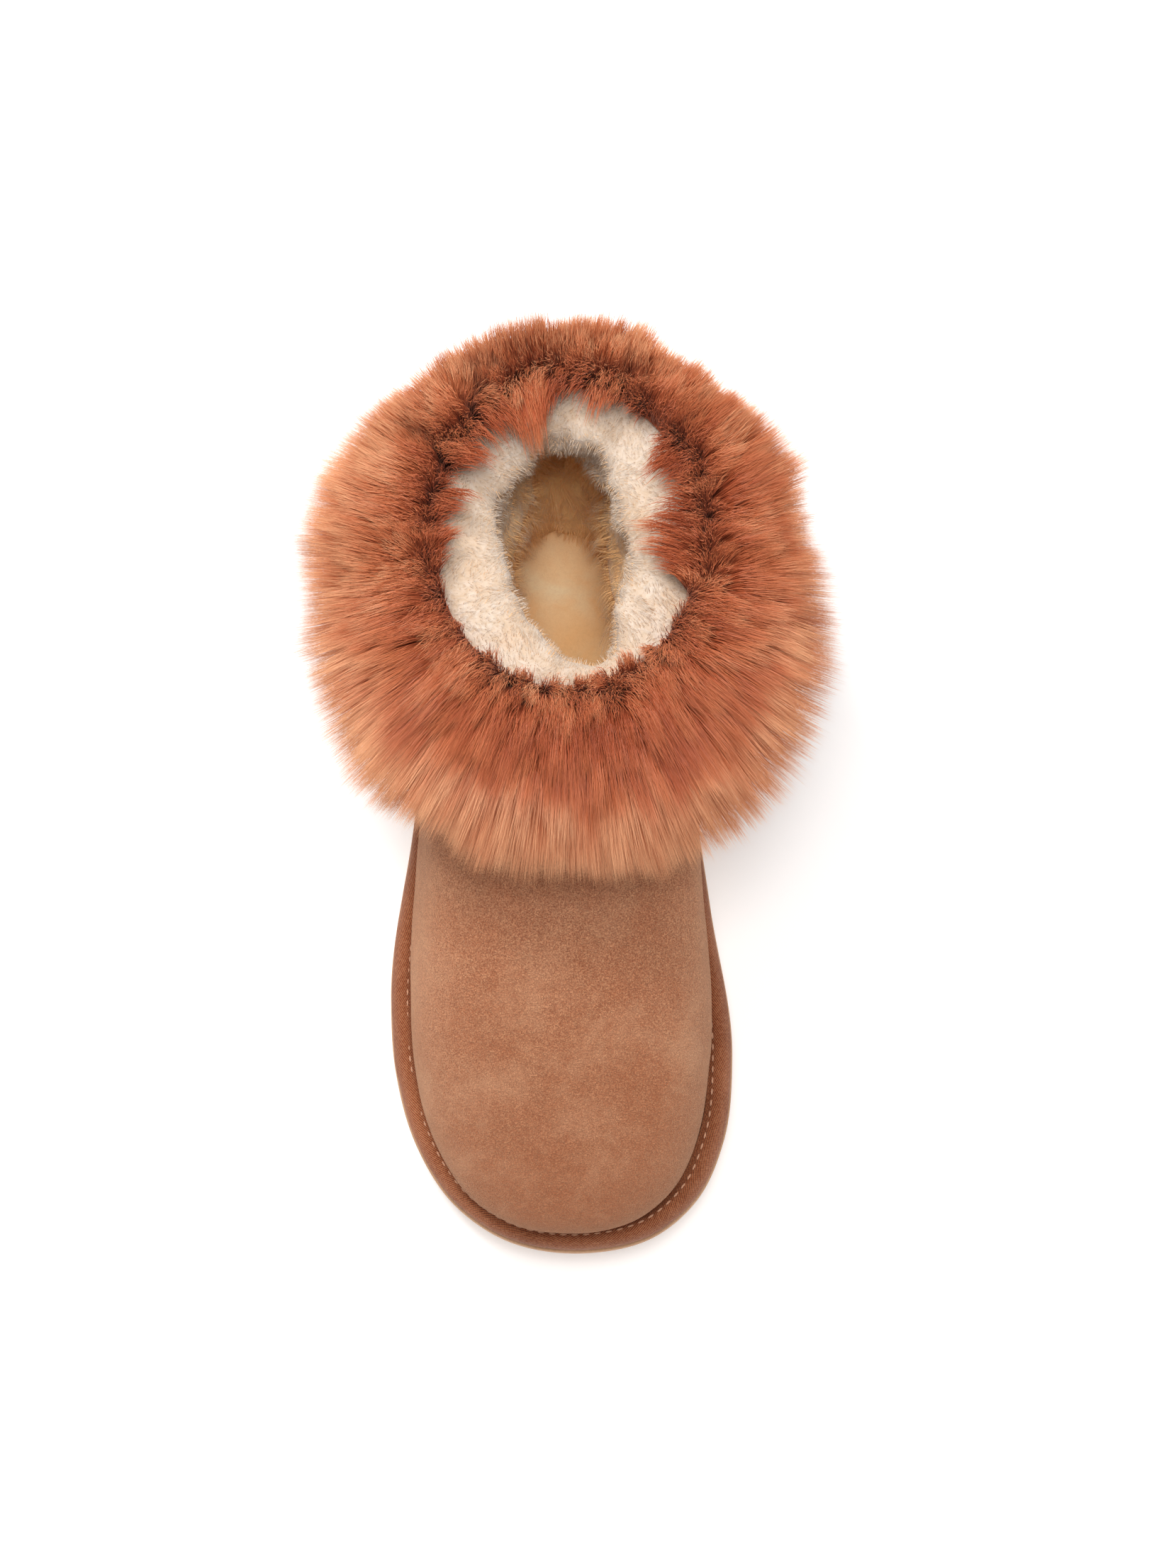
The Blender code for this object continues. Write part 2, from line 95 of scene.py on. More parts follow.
def around_table(values, turn):
    """The smooth value of evenly spaced places round the leg. turn runs from 0 at the back to 1."""
    values = np.asarray(values)
    place = (np.asarray(turn) % 1.0) * len(values)
    start = np.floor(place).astype(int)
    picks = [values[(start + step) % len(values)] for step in (-1, 0, 1, 2)]
    return hermite(*picks, place - start)


def near_toe(turn):
    """0 at the back of the leg and 1 at its front."""
    return (1 - np.cos(2 * math.pi * turn)) / 2


def near_back(turn):
    """1 at the back of the leg and 0 at its front."""
    return (1 + np.cos(2 * math.pi * turn)) / 2


# %% The footprint
# Shares of the length and of half the ball width, from the heel's back round the inner side
OUTLINE = np.array(
    [
        (0.000, 0.00),
        (0.035, 0.44),
        (0.130, 0.71),
        (0.370, 0.73),
        (0.590, 0.875),
        (0.770, 1.00),
        (0.870, 0.945),
        (0.935, 0.80),
        (0.980, 0.55),
        (1.000, 0.13),
        (0.984, -0.33),
        (0.943, -0.62),
        (0.875, -0.84),
        (0.790, -0.965),
        (0.700, -1.00),
        (0.490, -0.87),
        (0.300, -0.77),
        (0.130, -0.72),
        (0.035, -0.44),
    ]
)
TOE_CORNER = 9  # the row at the toe's point


def footprint_side(first, last, samples=320):
    """Points at equal distances along one side of the foot."""
    points = np.column_stack([OUTLINE[:, 1] * HALF_BALL, HEEL_BACK_Y - OUTLINE[:, 0] * FOOT_LENGTH])
    share = np.linspace(0, 1, 24, endpoint=False)[:, None]
    path = []
    for k in range(first, last):
        picks = [points[(k + step) % len(points)] for step in (-1, 0, 1, 2)]
        spans = [np.hypot(*(q - p)) for p, q in zip(picks, picks[1:])]
        path.append(hermite(*picks, share, spans))
    path = np.vstack(path + [points[last % len(points)][None]])
    lengths = np.concatenate([[0], np.cumsum(np.hypot(*np.diff(path, axis=0).T))])
    even = np.linspace(0, lengths[-1], samples + 1)[:-1]
    return np.column_stack([np.interp(even, lengths, path[:, axis]) for axis in (0, 1)])


FOOTPRINT = np.vstack([footprint_side(0, TOE_CORNER), footprint_side(TOE_CORNER, len(OUTLINE))])
print("footprint in mm:", np.round(np.ptp(FOOTPRINT, axis=0) / MM, 1))


def outline(turn, inset):
    """Points of the footprint, moved inwards. turn is 0 at the heel and 0.5 at the toe."""
    count = len(FOOTPRINT)
    place = (np.asarray(turn) % 1.0) * count
    start = np.floor(place).astype(int)
    point = mix(FOOTPRINT[start % count], FOOTPRINT[(start + 1) % count], (place - start)[..., None])
    along = FOOTPRINT[(start + 7) % count] - FOOTPRINT[(start - 6) % count]
    along /= np.linalg.norm(along, axis=-1, keepdims=True)
    inward = np.stack([along[..., 1], -along[..., 0]], axis=-1)
    return point + inward * np.asarray(inset)[..., None]


# %% The sole's heights
def sole_bottom(y):
    """The underside: flat, with a low arch, and sprung at the toe and the heel."""
    share = (HEEL_BACK_Y - y) / FOOT_LENGTH
    arch = smooth_step((share - 0.32) / 0.10) * smooth_step((0.60 - share) / 0.10)
    toe = np.maximum(0.0, (share - 0.80) / 0.20) ** 2
    heel = np.maximum(0.0, (0.07 - share) / 0.07) ** 2
    return (2 * arch + 7 * toe + 2.5 * heel) * MM


def sole_top(y):
    """The upper side, thicker under the heel than under the ball."""
    share = np.clip((HEEL_BACK_Y - y) / FOOT_LENGTH, 0.0, 1.0)
    fall = smooth_step((share - 0.22) / 0.46)
    toe = smooth_step((share - 0.74) / 0.26)
    thickness = mix(mix(22.0, 14.0, fall), 13.0, toe)
    return (thickness + 7 * np.maximum(0.0, (share - 0.80) / 0.20) ** 2) * MM


# %% The upper's rings
UPPER_INSET = 7.3 * MM
WALL = 7 * MM
COLLAR = 13  # the last ring
# Columns: front, back, instep, shaft, heel, width, waist, back lean, front lean, oval, follow
RINGS = np.array(
    [
        (0.000, 0.000, 0.00, 0.00, 0.000, 1.000, 0.00, 0.000, 0.000, 0.00, 1.00),
        (0.000, 0.000, 0.17, 0.00, 0.095, 1.000, 0.00, 0.000, 0.000, 0.00, 1.00),
        (-0.015, -0.005, 0.30, 0.00, 0.170, 1.020, 0.07, 0.006, -0.040, 0.04, 1.00),
        (-0.011, -0.010, 0.43, 0.00, 0.260, 1.020, 0.09, 0.010, -0.040, 0.10, 0.90),
        (0.014, -0.012, 0.53, 0.00, 0.340, 0.990, 0.09, 0.016, -0.030, 0.18, 0.75),
        (0.062, -0.010, 0.60, 0.00, 0.410, 0.960, 0.07, 0.024, -0.005, 0.28, 0.55),
        (0.142, -0.006, 0.67, 0.00, 0.480, 0.940, 0.05, 0.034, 0.015, 0.40, 0.35),
        (0.232, -0.001, 0.755, 0.00, 0.550, 0.935, 0.03, 0.042, 0.030, 0.54, 0.20),
        (0.320, 0.005, 0.865, 0.00, 0.620, 0.940, 0.01, 0.048, 0.042, 0.70, 0.10),
        (0.402, 0.013, 1.00, 0.00, 0.690, 0.955, 0.00, 0.048, 0.048, 0.84, 0.00),
        (0.468, 0.021, 1.00, 0.27, 0.775, 0.975, 0.00, 0.048, 0.048, 0.95, 0.00),
        (0.504, 0.028, 1.00, 0.58, 0.865, 0.990, 0.00, 0.048, 0.048, 1.00, 0.00),
        (0.516, 0.032, 1.00, 0.81, 0.940, 1.000, 0.00, 0.048, 0.048, 1.00, 0.00),
        (0.519, 0.034, 1.00, 1.00, 1.000, 1.000, 0.00, 0.048, 0.048, 1.00, 0.00),
    ]
)
LOWEST = outline(np.linspace(0, 1, 800, endpoint=False), np.full(800, UPPER_INSET))
LOWEST_BACK, LOWEST_FRONT = LOWEST[:, 1].max(), LOWEST[:, 1].min()
HALF_WIDTH = HALF_BALL - UPPER_INSET


def upper(turn, level):
    """Points of the suede's outside. level counts the rings of the table, from the sole up."""
    turn, level = np.broadcast_arrays(np.asarray(turn, float), np.asarray(level, float))
    columns = [along_table(column, level) for column in RINGS.T]
    front, back, instep, shaft, heel, width, waist, back_lean, front_lean, oval, follow = columns
    place = outline(turn, np.full(turn.shape, UPPER_INSET))
    x, y = place[..., 0], place[..., 1]
    angle = 2 * math.pi * turn
    share = mix((LOWEST_BACK - y) / (LOWEST_BACK - LOWEST_FRONT), (1 - np.cos(angle)) / 2, oval)
    across = mix(x / HALF_WIDTH, np.sin(angle), oval)
    waist_end = np.where(across > 0, 0.88, 0.74)
    bulge = smooth_step((waist_end - share) / 0.30) * smooth_step(share / 0.35)
    lean = mix(back_lean, front_lean, np.abs(share) ** 4)
    x = (across * (width + waist * bulge) + lean) * HALF_WIDTH
    y = mix(LOWEST_BACK - back * FOOT_LENGTH, LOWEST_FRONT + front * FOOT_LENGTH, share)
    rise = mix(100 * heel, 56 * instep + 44 * shaft, share) * MM
    seat = mix(22 * MM, sole_top(y), follow) + 0.3 * MM
    return np.stack([x, y, seat + rise], axis=-1)


def upper_out(turn, level):
    """The outward direction of the suede."""
    low, high = np.maximum(level - 0.05, 0), np.minimum(level + 0.05, COLLAR)
    along = upper(turn + 0.004, level) - upper(turn - 0.004, level)
    up = upper(turn, high) - upper(turn, low)
    out = np.cross(up, along)
    return out / np.linalg.norm(out, axis=-1, keepdims=True)


print("collar height in mm:", round(upper(0.0, COLLAR)[2] / MM, 1))

# %% [markdown]
# ## Helpers for meshes
#
# Most of the boot's pieces are grids that are wrapped round the foot or the leg. One helper turns an
# array of points into a mesh, and keeps a map of how far along and across it each point lies.


# %% Grids
def new_piece(name, mesh, finish=None):
    piece = bpy.data.objects.new(name, mesh)
    bpy.context.scene.collection.objects.link(piece)
    if finish is not None:
        mesh.materials.clear()
        mesh.materials.append(finish)
    return piece


def ring_faces(rows, count, closed_rows=False, flip=False):
    """Corner numbers of the quads between rings of points, each ring closed."""
    row = np.arange(rows if closed_rows else rows - 1)[:, None]
    here = np.arange(count)[None, :]
    after = (here + 1) % count
    above = (row + 1) % rows
    quads = [row * count + here, row * count + after, above * count + after, above * count + here]
    faces = np.stack(quads, axis=-1).reshape(-1, 4)
    return faces[:, ::-1] if flip else faces


def grid_piece(name, rings, finish, closed_rows=False, flip=False, maps=None, extra_faces=()):
    """A piece from rings of points. maps holds each point's metres along and across, and one round."""
    rows, count = rings.shape[:2]
    faces = ring_faces(rows, count, closed_rows, flip)
    mesh = bpy.data.meshes.new(name)
    mesh.from_pydata(rings.reshape(-1, 3).tolist(), [], faces.tolist() + [list(f) for f in extra_faces])
    if maps is not None:
        layer = mesh.uv_layers.new(name="tape")
        corners = np.zeros((len(mesh.loops), 2))
        row, here = np.divmod(faces, count)
        wrapped = (here == 0) & (here.max(axis=1, keepdims=True) == count - 1)
        along = maps[0][row, here] + np.where(wrapped, maps[2], 0.0)
        across = maps[1][row, here]
        corners[: faces.size] = np.stack([along, across], axis=-1).reshape(-1, 2)
        layer.data.foreach_set("uv", corners.ravel())
    mesh.validate()
    mesh.shade_smooth()
    return new_piece(name, mesh, finish)


def finished(piece, slot, *nodes):
    """The last words on a piece: its body and the solids it stands for. slot is not used."""
    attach(piece, "root")
    if nodes:
        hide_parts(*nodes)
    piece.data.calc_loop_triangles()
    print(piece.name, len(piece.data.loop_triangles), "triangles")
    return piece


# %% [markdown]
# ## Helpers for nodes
#
# Materials and Geometry Nodes are both graphs. A wire is one output of a node. Arithmetic on wires adds
# the nodes that do it, so a rule reads here as it would on paper.


# %% Wires and nodes
class Wire:
    """An output of a node, with arithmetic."""

    def __init__(self, nodes, socket):
        self.nodes = nodes
        self.socket = socket

    def __add__(self, other):
        return self.nodes.maths("ADD", self, other)

    def __sub__(self, other):
        return self.nodes.maths("SUBTRACT", self, other)

    def __rsub__(self, other):
        return self.nodes.maths("SUBTRACT", other, self)

    def __mul__(self, other):
        return self.nodes.maths("MULTIPLY", self, other)

    __radd__ = __add__
    __rmul__ = __mul__


class Nodes:
    """The nodes of one tree."""

    def __init__(self, tree):
        self.tree = tree

    def add(self, kind, settings=None, sockets=None, out=0):
        """Add a node: its settings first, then the values or wires of its sockets."""
        node = self.tree.nodes.new(kind)
        for name, value in (settings or {}).items():
            if name == "stops":
                self.set_stops(node.color_ramp, value)
            else:
                setattr(node, name, value)
        for name, value in (sockets or {}).items():
            socket = node.inputs[name]
            if isinstance(value, Wire):
                self.tree.links.new(value.socket, socket)
            else:
                socket.default_value = value
        return Wire(self, node.outputs[out]) if node.outputs else node

    def set_stops(self, ramp, stops):
        while len(ramp.elements) < len(stops):
            ramp.elements.new(0.5)
        for element, (place, tint) in zip(ramp.elements, stops):
            element.position = place
            element.color = tint

    def also(self, wire, out):
        """Another output of the node that a wire comes from."""
        return Wire(self, wire.socket.node.outputs[out])

    def maths(self, operation, first, second):
        kinds = [value.socket.type for value in (first, second) if isinstance(value, Wire)]
        if "VECTOR" in kinds:
            values = [v if isinstance(v, Wire) else (v, v, v) for v in (first, second)]
            kind = "ShaderNodeVectorMath"
        else:
            values, kind = [first, second], "ShaderNodeMath"
        return self.add(kind, {"operation": operation}, dict(enumerate(values)))

    def clamped(self, value):
        return self.add("ShaderNodeMath", {"operation": "ADD", "use_clamp": True}, {0: value, 1: 0.0})

    def mixed(self, share, first, second):
        """A mix of two colours."""
        sockets = {0: share, 6: first, 7: second}
        return self.add("ShaderNodeMix", {"data_type": "RGBA"}, sockets, out=2)

    def ranged(self, value, low, high, to_low=0.0, to_high=1.0):
        sockets = {0: value, 1: low, 2: high, 3: to_low, 4: to_high}
        return self.add("ShaderNodeMapRange", {}, sockets)


# %% [markdown]
# ## Finishes
#
# Sheepskin is all fibre, so none of these surfaces is smooth. Each finish has a large, faint change of
# colour, as dye takes unevenly, and a fine one at the size of the nap, the rib or the cell.
#
# A finish starts from two near colours and lays others over them. ranged(noise, low, high, first, last)
# says how much of a colour is laid on: first where the noise is low, last where it is high.


# %% A finish and its shader
def colour(red, green, blue):
    """A colour as seen on a screen, 0 to 255, made linear."""
    parts = [value / 255 for value in (red, green, blue)]
    linear = [p / 12.92 if p <= 0.04045 else ((p + 0.055) / 1.055) ** 2.4 for p in parts]
    return (*linear, 1.0)


def new_finish(name):
    material = bpy.data.materials.new(name)
    material.use_nodes = True
    material.node_tree.nodes.clear()
    return material, Nodes(material.node_tree)


def shade(nodes, base, roughness, height=None, depth=0.3 * MM, strength=0.5, **fixed):
    """The shader at a finish's end. height is a wire for fine relief, depth metres tall."""
    sockets = {"Base Color": base, "Roughness": roughness}
    sockets.update({name.replace("_", " "): value for name, value in fixed.items()})
    if height is not None:
        bump = {"Strength": strength, "Distance": depth, "Height": height}
        sockets["Normal"] = nodes.add("ShaderNodeBump", {}, bump)
    shader = nodes.add("ShaderNodeBsdfPrincipled", {}, sockets)
    nodes.add("ShaderNodeOutputMaterial", {}, {"Surface": shader})


def noise_wire(nodes, place, scale, detail=2.0, roughness=0.5, distortion=0.0):
    sockets = {"Vector": place, "Scale": scale, "Detail": detail, "Roughness": roughness}
    sockets["Distortion"] = distortion
    return nodes.add("ShaderNodeTexNoise", {}, sockets)


def object_place(nodes):
    return nodes.add("ShaderNodeTexCoord", out="Object")


def attribute_wire(nodes, name):
    return nodes.add("ShaderNodeAttribute", {"attribute_name": name}, out="Fac")


# %% [markdown]
# Suede is the flesh side of the skin, sanded to a nap. It is quite matt, and paler where it is brushed one
# way. A picture of suede would stretch over the toe, so the finish adds up noises that live in space: large
# patches, brushed strokes, a mottle of about two millimetres, and the nap. The nap is a tangle of fibres
# less than half a millimetre across, so its noise is distorted into small curls, with painted shade between
# the fibres and a painted highlight on their ends. The toe's tip has painted shade, where less light falls
# on its slope, and behind it the toe is more worn.


# %% Suede
def make_suede():
    material, nodes = new_finish("chestnut_suede")
    place = object_place(nodes)
    patches = noise_wire(nodes, place, 26.0, 3.0, 0.55, 0.6)
    brushed = noise_wire(nodes, place, 75.0, 4.0, 0.6, 1.2)
    nap = noise_wire(nodes, place, 2500.0, 2.0, 0.6, 0.8)
    mottle = noise_wire(nodes, place, 420.0, 3.0, 0.6, 0.8)
    base = nodes.mixed(nodes.ranged(patches, 0.32, 0.68), colour(184, 116, 80), colour(203, 139, 103))
    base = nodes.mixed(nodes.ranged(brushed, 0.42, 0.75, 0.0, 0.45), base, colour(208, 156, 118))
    base = nodes.mixed(nodes.ranged(mottle, 0.35, 0.6, 0.26, 0.0), base, colour(144, 84, 56))
    # Painted shade between the fibres, and a painted highlight on their ends
    base = nodes.mixed(nodes.ranged(nap, 0.38, 0.56, 0.7, 0.0), base, colour(124, 64, 40))
    base = nodes.mixed(nodes.ranged(nap, 0.54, 0.68, 0.0, 0.4), base, colour(230, 174, 130))
    # Painted shade on the toe's tip, then the worn clouds behind it
    y = nodes.also(nodes.add("ShaderNodeSeparateXYZ", {}, {0: place}), 1)
    base = nodes.mixed(nodes.ranged(y, -0.20, -0.13, 0.6, 0.0), base, colour(148, 88, 58))
    clouds = noise_wire(nodes, place, 60.0, 5.0, 0.68, 0.3)
    worn = nodes.ranged(clouds, 0.48, 0.72, 0.0, 0.34) * nodes.ranged(y, -0.15, -0.10, 0.85, 0.15)
    base = nodes.mixed(worn, base, colour(214, 164, 128))
    shade(
        nodes,
        base,
        nodes.ranged(nap, 0.3, 0.7, 0.85, 1.0),
        nap * 0.9 + mottle * 0.6,
        0.7 * MM,
        1.0,
        Sheen_Weight=0.6,
        Sheen_Roughness=0.45,
        Sheen_Tint=colour(255, 210, 172),
        Specular_IOR_Level=0.2,
    )
    return material


suede = make_suede()

# %% [markdown]
# The binding is a brown woven tape. Slanting ribs cross it a little over half a millimetre apart, and finer
# threads cross the ribs. A pattern in space would shear where the tape turns, so this one follows the
# tape's own map: u runs along the tape in metres and v across it.


# %% Tape
RIB_SLANT = math.radians(30)
RIB_PITCH = 0.56 * MM
THREAD_PITCH = 0.7 * MM


def stripes(nodes, along, across, turns_along, turns_across):
    """Waves from -1 to 1 that cross the tape's map at so many turns a metre each way."""
    phase = along * (2 * math.pi * turns_along) + across * (2 * math.pi * turns_across)
    return nodes.add("ShaderNodeMath", {"operation": "SINE"}, {0: phase})


def make_tape():
    material, nodes = new_finish("ribbed_brown_tape")
    tape = nodes.add("ShaderNodeUVMap", {"uv_map": "tape"})
    split = nodes.add("ShaderNodeSeparateXYZ", {}, {0: tape})
    along, across = split, nodes.also(split, 1)
    lean, stand = math.sin(RIB_SLANT), math.cos(RIB_SLANT)
    ribs = stripes(nodes, along, across, lean / RIB_PITCH, stand / RIB_PITCH)
    threads = stripes(nodes, along, across, stand / THREAD_PITCH, -lean / THREAD_PITCH)
    place = object_place(nodes)
    wear = noise_wire(nodes, place, 60.0, 3.0)
    fibres = noise_wire(nodes, place, 1400.0, 2.0)
    base = nodes.mixed(nodes.ranged(wear, 0.3, 0.7), colour(161, 86, 44), colour(190, 110, 65))
    base = nodes.mixed(nodes.ranged(ribs, -1.0, 0.5, 0.85, 0.0), base, colour(66, 28, 14))
    base = nodes.mixed(nodes.ranged(threads, -1.0, 0.5, 0.3, 0.0), base, colour(84, 40, 24))
    base = nodes.mixed(nodes.ranged(fibres, 0.4, 0.8, 0.0, 0.4), base, colour(206, 144, 104))
    shade(
        nodes,
        base,
        nodes.ranged(ribs, -1.0, 1.0, 0.75, 0.55),
        ribs * 0.5 + threads * 0.18,
        0.18 * MM,
        1.0,
        Sheen_Weight=0.15,
        Sheen_Tint=colour(255, 210, 180),
        Specular_IOR_Level=0.35,
    )
    return material


tape_finish = make_tape()

# %% [markdown]
# The sole is foam rubber in a light tan. Moulded foam has a faint skin with tiny cells, and dirt gathers in
# its grooves, but this pair is new, so the cells are nearly all there is to see.


# %% Foam, footbed, thread
def make_foam():
    material, nodes = new_finish("tan_foam")
    place = object_place(nodes)
    cloud = noise_wire(nodes, place, 40.0, 3.0)
    cells = noise_wire(nodes, place, 1600.0, 2.0, 0.6)
    base = nodes.mixed(nodes.ranged(cloud, 0.35, 0.65), colour(196, 150, 112), colour(208, 164, 127))
    base = nodes.mixed(nodes.ranged(cells, 0.35, 0.6, 0.25, 0.0), base, colour(150, 106, 74))
    shade(nodes, base, nodes.ranged(cells, 0.3, 0.7, 0.8, 0.62), cells, 0.15 * MM, 0.4)
    return material


def make_footbed():
    material, nodes = new_finish("pressed_peach_fleece")
    place = object_place(nodes)
    pressed = noise_wire(nodes, place, 70.0, 3.0, 0.55, 0.5)
    fibres = noise_wire(nodes, place, 900.0, 3.0, 0.65, 1.5)
    worn = noise_wire(nodes, place, 28.0, 2.0)
    base = nodes.mixed(nodes.ranged(pressed, 0.35, 0.7), colour(255, 206, 148), colour(255, 228, 182))
    base = nodes.mixed(nodes.ranged(worn, 0.42, 0.6, 0.0, 0.6), base, colour(255, 194, 124))
    base = nodes.mixed(nodes.ranged(fibres, 0.3, 0.6, 0.2, 0.0), base, colour(214, 158, 106))
    shade(nodes, base, 0.9, fibres, 0.2 * MM, 0.4, Sheen_Weight=0.3, Specular_IOR_Level=0.2)
    return material


def make_thread():
    material, nodes = new_finish("peach_thread")
    twist = nodes.add("ShaderNodeTexWave", {"bands_direction": "DIAGONAL"}, {"Scale": 900.0})
    base = nodes.mixed(twist, colour(196, 140, 106), colour(228, 178, 146))
    shade(nodes, base, 0.6, twist, 0.05 * MM, 0.5)
    return material


foam = make_foam()
footbed_finish = make_footbed()
thread = make_thread()

# %% [markdown]
# Hair is darkest where it leaves the skin and palest at its tip. Each hair carries three numbers for its
# finish: how far along the hair a point is, a shade that it partly shares with its lock, and a tone for the
# place it grows from. That tone is painted light and shade: painted shade where the fur stands deep or lies
# in its own shadow, painted light where a lamp reaches it, and painted warm bounce light deep in the
# lining, partly the browner wool of the heel. One finish reads them all, so fur and wool differ only in
# their colours.


# %% Fur and wool
def make_hair(name, stops, variation, roughness, sheen):
    """stops are its colours from root to tip. variation is how much its locks differ."""
    material, nodes = new_finish(name)
    along = attribute_wire(nodes, "along")
    own = attribute_wire(nodes, "shade")
    patches = noise_wire(nodes, object_place(nodes), 38.0, 2.0)
    # The painted light and shade of the place the hair grows from, laid on by moving its colour towards the
    # root's stop
    tone = attribute_wire(nodes, "tone")
    shifted = along + own * variation + patches * 0.3 - tone - (variation / 2 + 0.15)
    base = nodes.add("ShaderNodeValToRGB", {"stops": stops}, {"Fac": nodes.clamped(shifted)})
    shade(
        nodes,
        base,
        nodes.ranged(along, 0.0, 1.0, roughness + 0.15, roughness),
        Sheen_Weight=sheen,
        Sheen_Tint=colour(255, 220, 196),
        Specular_IOR_Level=0.35,
    )
    return material


fur_hair = make_hair(
    "rust_fur_hair",
    [
        (0.0, colour(150, 66, 36)),
        (0.3, colour(175, 86, 50)),
        (0.62, colour(202, 116, 73)),
        (1.0, colour(240, 178, 132)),
    ],
    0.44,
    0.5,
    0.1,
)
wool_hair = make_hair(
    "cream_wool_hair",
    [
        # The warm first stop is the roots' colour, and also the colour of the painted warm bounce light deep
        # in the lining
        (0.0, colour(255, 204, 142)),
        (0.3, colour(212, 182, 152)),
        (0.6, colour(208, 192, 174)),
        (1.0, colour(226, 216, 206)),
    ],
    0.4,
    0.8,
    0.3,
)


def make_under_fur():
    material, nodes = new_finish("dark_fur_skin")
    place = object_place(nodes)
    tangle = noise_wire(nodes, place, 420.0, 4.0, 0.6, 2.0)
    base = nodes.mixed(nodes.ranged(tangle, 0.3, 0.7), colour(160, 74, 42), colour(188, 98, 60))
    shade(nodes, base, 0.95, tangle, 0.8 * MM, 0.6)
    return material


def make_fleece():
    """Wool that lies in curls. It is cream at the collar and warmer low down and in the heel:
    partly the heel's browner wool, partly painted warm bounce light.
    """
    material, nodes = new_finish("cream_fleece")
    place = object_place(nodes)
    curls = noise_wire(nodes, place, 330.0, 4.0, 0.6, 1.8)
    clouds = noise_wire(nodes, place, 55.0, 3.0)
    down = attribute_wire(nodes, "down")
    base = nodes.mixed(nodes.ranged(curls, 0.3, 0.65), colour(208, 184, 158), colour(222, 206, 190))
    base = nodes.mixed(nodes.ranged(clouds, 0.42, 0.62, 0.0, 0.35), base, colour(202, 164, 124))
    # Painted warm bounce light low in the lining and most in the heel, partly the heel's browner wool
    base = nodes.mixed(down, base, colour(255, 212, 148))
    shade(nodes, base, 0.95, curls, 0.9 * MM, 0.7, Sheen_Weight=0.3, Specular_IOR_Level=0.15)
    return material


under_fur = make_under_fur()
fleece = make_fleece()
print("finishes:", [material.name for material in bpy.data.materials])

# %% [markdown]
# ## Camera, floor and light
#
# The photograph looks down on the boot from in front of the toe, 78 degrees up, through a longish lens.
# The studio is white all round, so an even sky gives the soft fill. A lamp high behind the heel, on the
# foot's outer side, gives the fur and the suede their direction. Another over the instep lights the toe.
# The floor glows a little, as a lit white table does, so that it stays white between the shadows.

# %% Camera
ELEVATION = math.radians(78)
DISTANCE = 1.0
AIM = Vector((7.9, -84.0, 60.0)) * MM
LENS, SENSOR = 80, 36  # in mm
camera_data = bpy.data.cameras.new("camera")
camera_data.lens = LENS
camera_data.sensor_width = SENSOR
camera = bpy.data.objects.new("camera", camera_data)
camera.location = AIM + DISTANCE * Vector((0, -math.cos(ELEVATION), math.sin(ELEVATION)))
camera.rotation_euler = (math.pi / 2 - ELEVATION, 0, 0)
bpy.context.scene.collection.objects.link(camera)
bpy.context.scene.camera = camera

# %% Floor and lights
FLOOR_REACH = 3.0
BOOT_MIDDLE = (0.0, -0.06, 0.05)
bpy.context.scene.view_settings.view_transform = "Standard"


def make_floor():
    mesh = bpy.data.meshes.new("floor")
    square = ((-1, -1), (1, -1), (1, 1), (-1, 1))
    corners = [(x * FLOOR_REACH, y * FLOOR_REACH, 0.0) for x, y in square]
    mesh.from_pydata(corners, [], [(0, 1, 2, 3)])
    material, nodes = new_finish("white_floor")
    speck = noise_wire(nodes, object_place(nodes), 3.0)
    base = nodes.mixed(speck, colour(225, 224, 223), colour(229, 228, 227))
    glow = {"Emission_Color": (1.0, 1.0, 1.0, 1.0), "Emission_Strength": 0.36}
    shade(nodes, base, 0.9, Specular_IOR_Level=0.0, **glow)
    return new_piece("floor", mesh, material)


def make_lamp(name, place, size, power):
    """A square lamp that faces the boot."""
    lamp = bpy.data.lights.new(name, "AREA")
    lamp.shape = "SQUARE"
    lamp.size = size
    lamp.energy = power
    holder = bpy.data.objects.new(name, lamp)
    holder.location = place
    facing = Vector(BOOT_MIDDLE) - Vector(place)
    holder.rotation_euler = facing.to_track_quat("-Z", "Y").to_euler()
    bpy.context.scene.collection.objects.link(holder)


make_floor()
make_lamp("key_lamp", place=(-0.35, 0.38, 1.25), size=0.35, power=9.0)
make_lamp("top_lamp", place=(0.02, -0.12, 1.45), size=0.4, power=10.5)
world = bpy.data.worlds.new("white_studio")
world.use_nodes = True
sky = world.node_tree.nodes["Background"]
sky.inputs["Color"].default_value = (1.0, 0.995, 0.99, 1.0)
sky.inputs["Strength"].default_value = 0.5
bpy.context.scene.world = world
print("camera in mm:", [round(value / MM) for value in camera.location])

# %% [markdown]
# ## The sole
#
# A moulded foam sole with a lip that the binding sits on, a stepped and undercut wall, and grooves across
# the heel and the ball. It could be an extrusion with cuts, but all its heights change along the foot. So
# it is one grid: rings from the tread up the wall to the lip, with a lid across the top and the bottom.

# %% Sole
GROOVE_DEPTH = 2.5 * MM
GROOVE_PITCH = 11 * MM
GROOVE_HALF = 1.0 * MM
GROOVE_SIDE = 0.5 * MM  # how wide the slope at each side of a groove is
BALL_Y = -139 * MM
HEEL_GROOVES = [(k - 1.5) * GROOVE_PITCH for k in range(4)]
BALL_GROOVES = [BALL_Y + (k - 3.5) * GROOVE_PITCH for k in range(8)]
LIP_INSET = -0.6 * MM
WALL_INSET = LIP_INSET + 1.4 * MM
UNDERCUT = 1.6 * MM
WALL_RIBS = 150


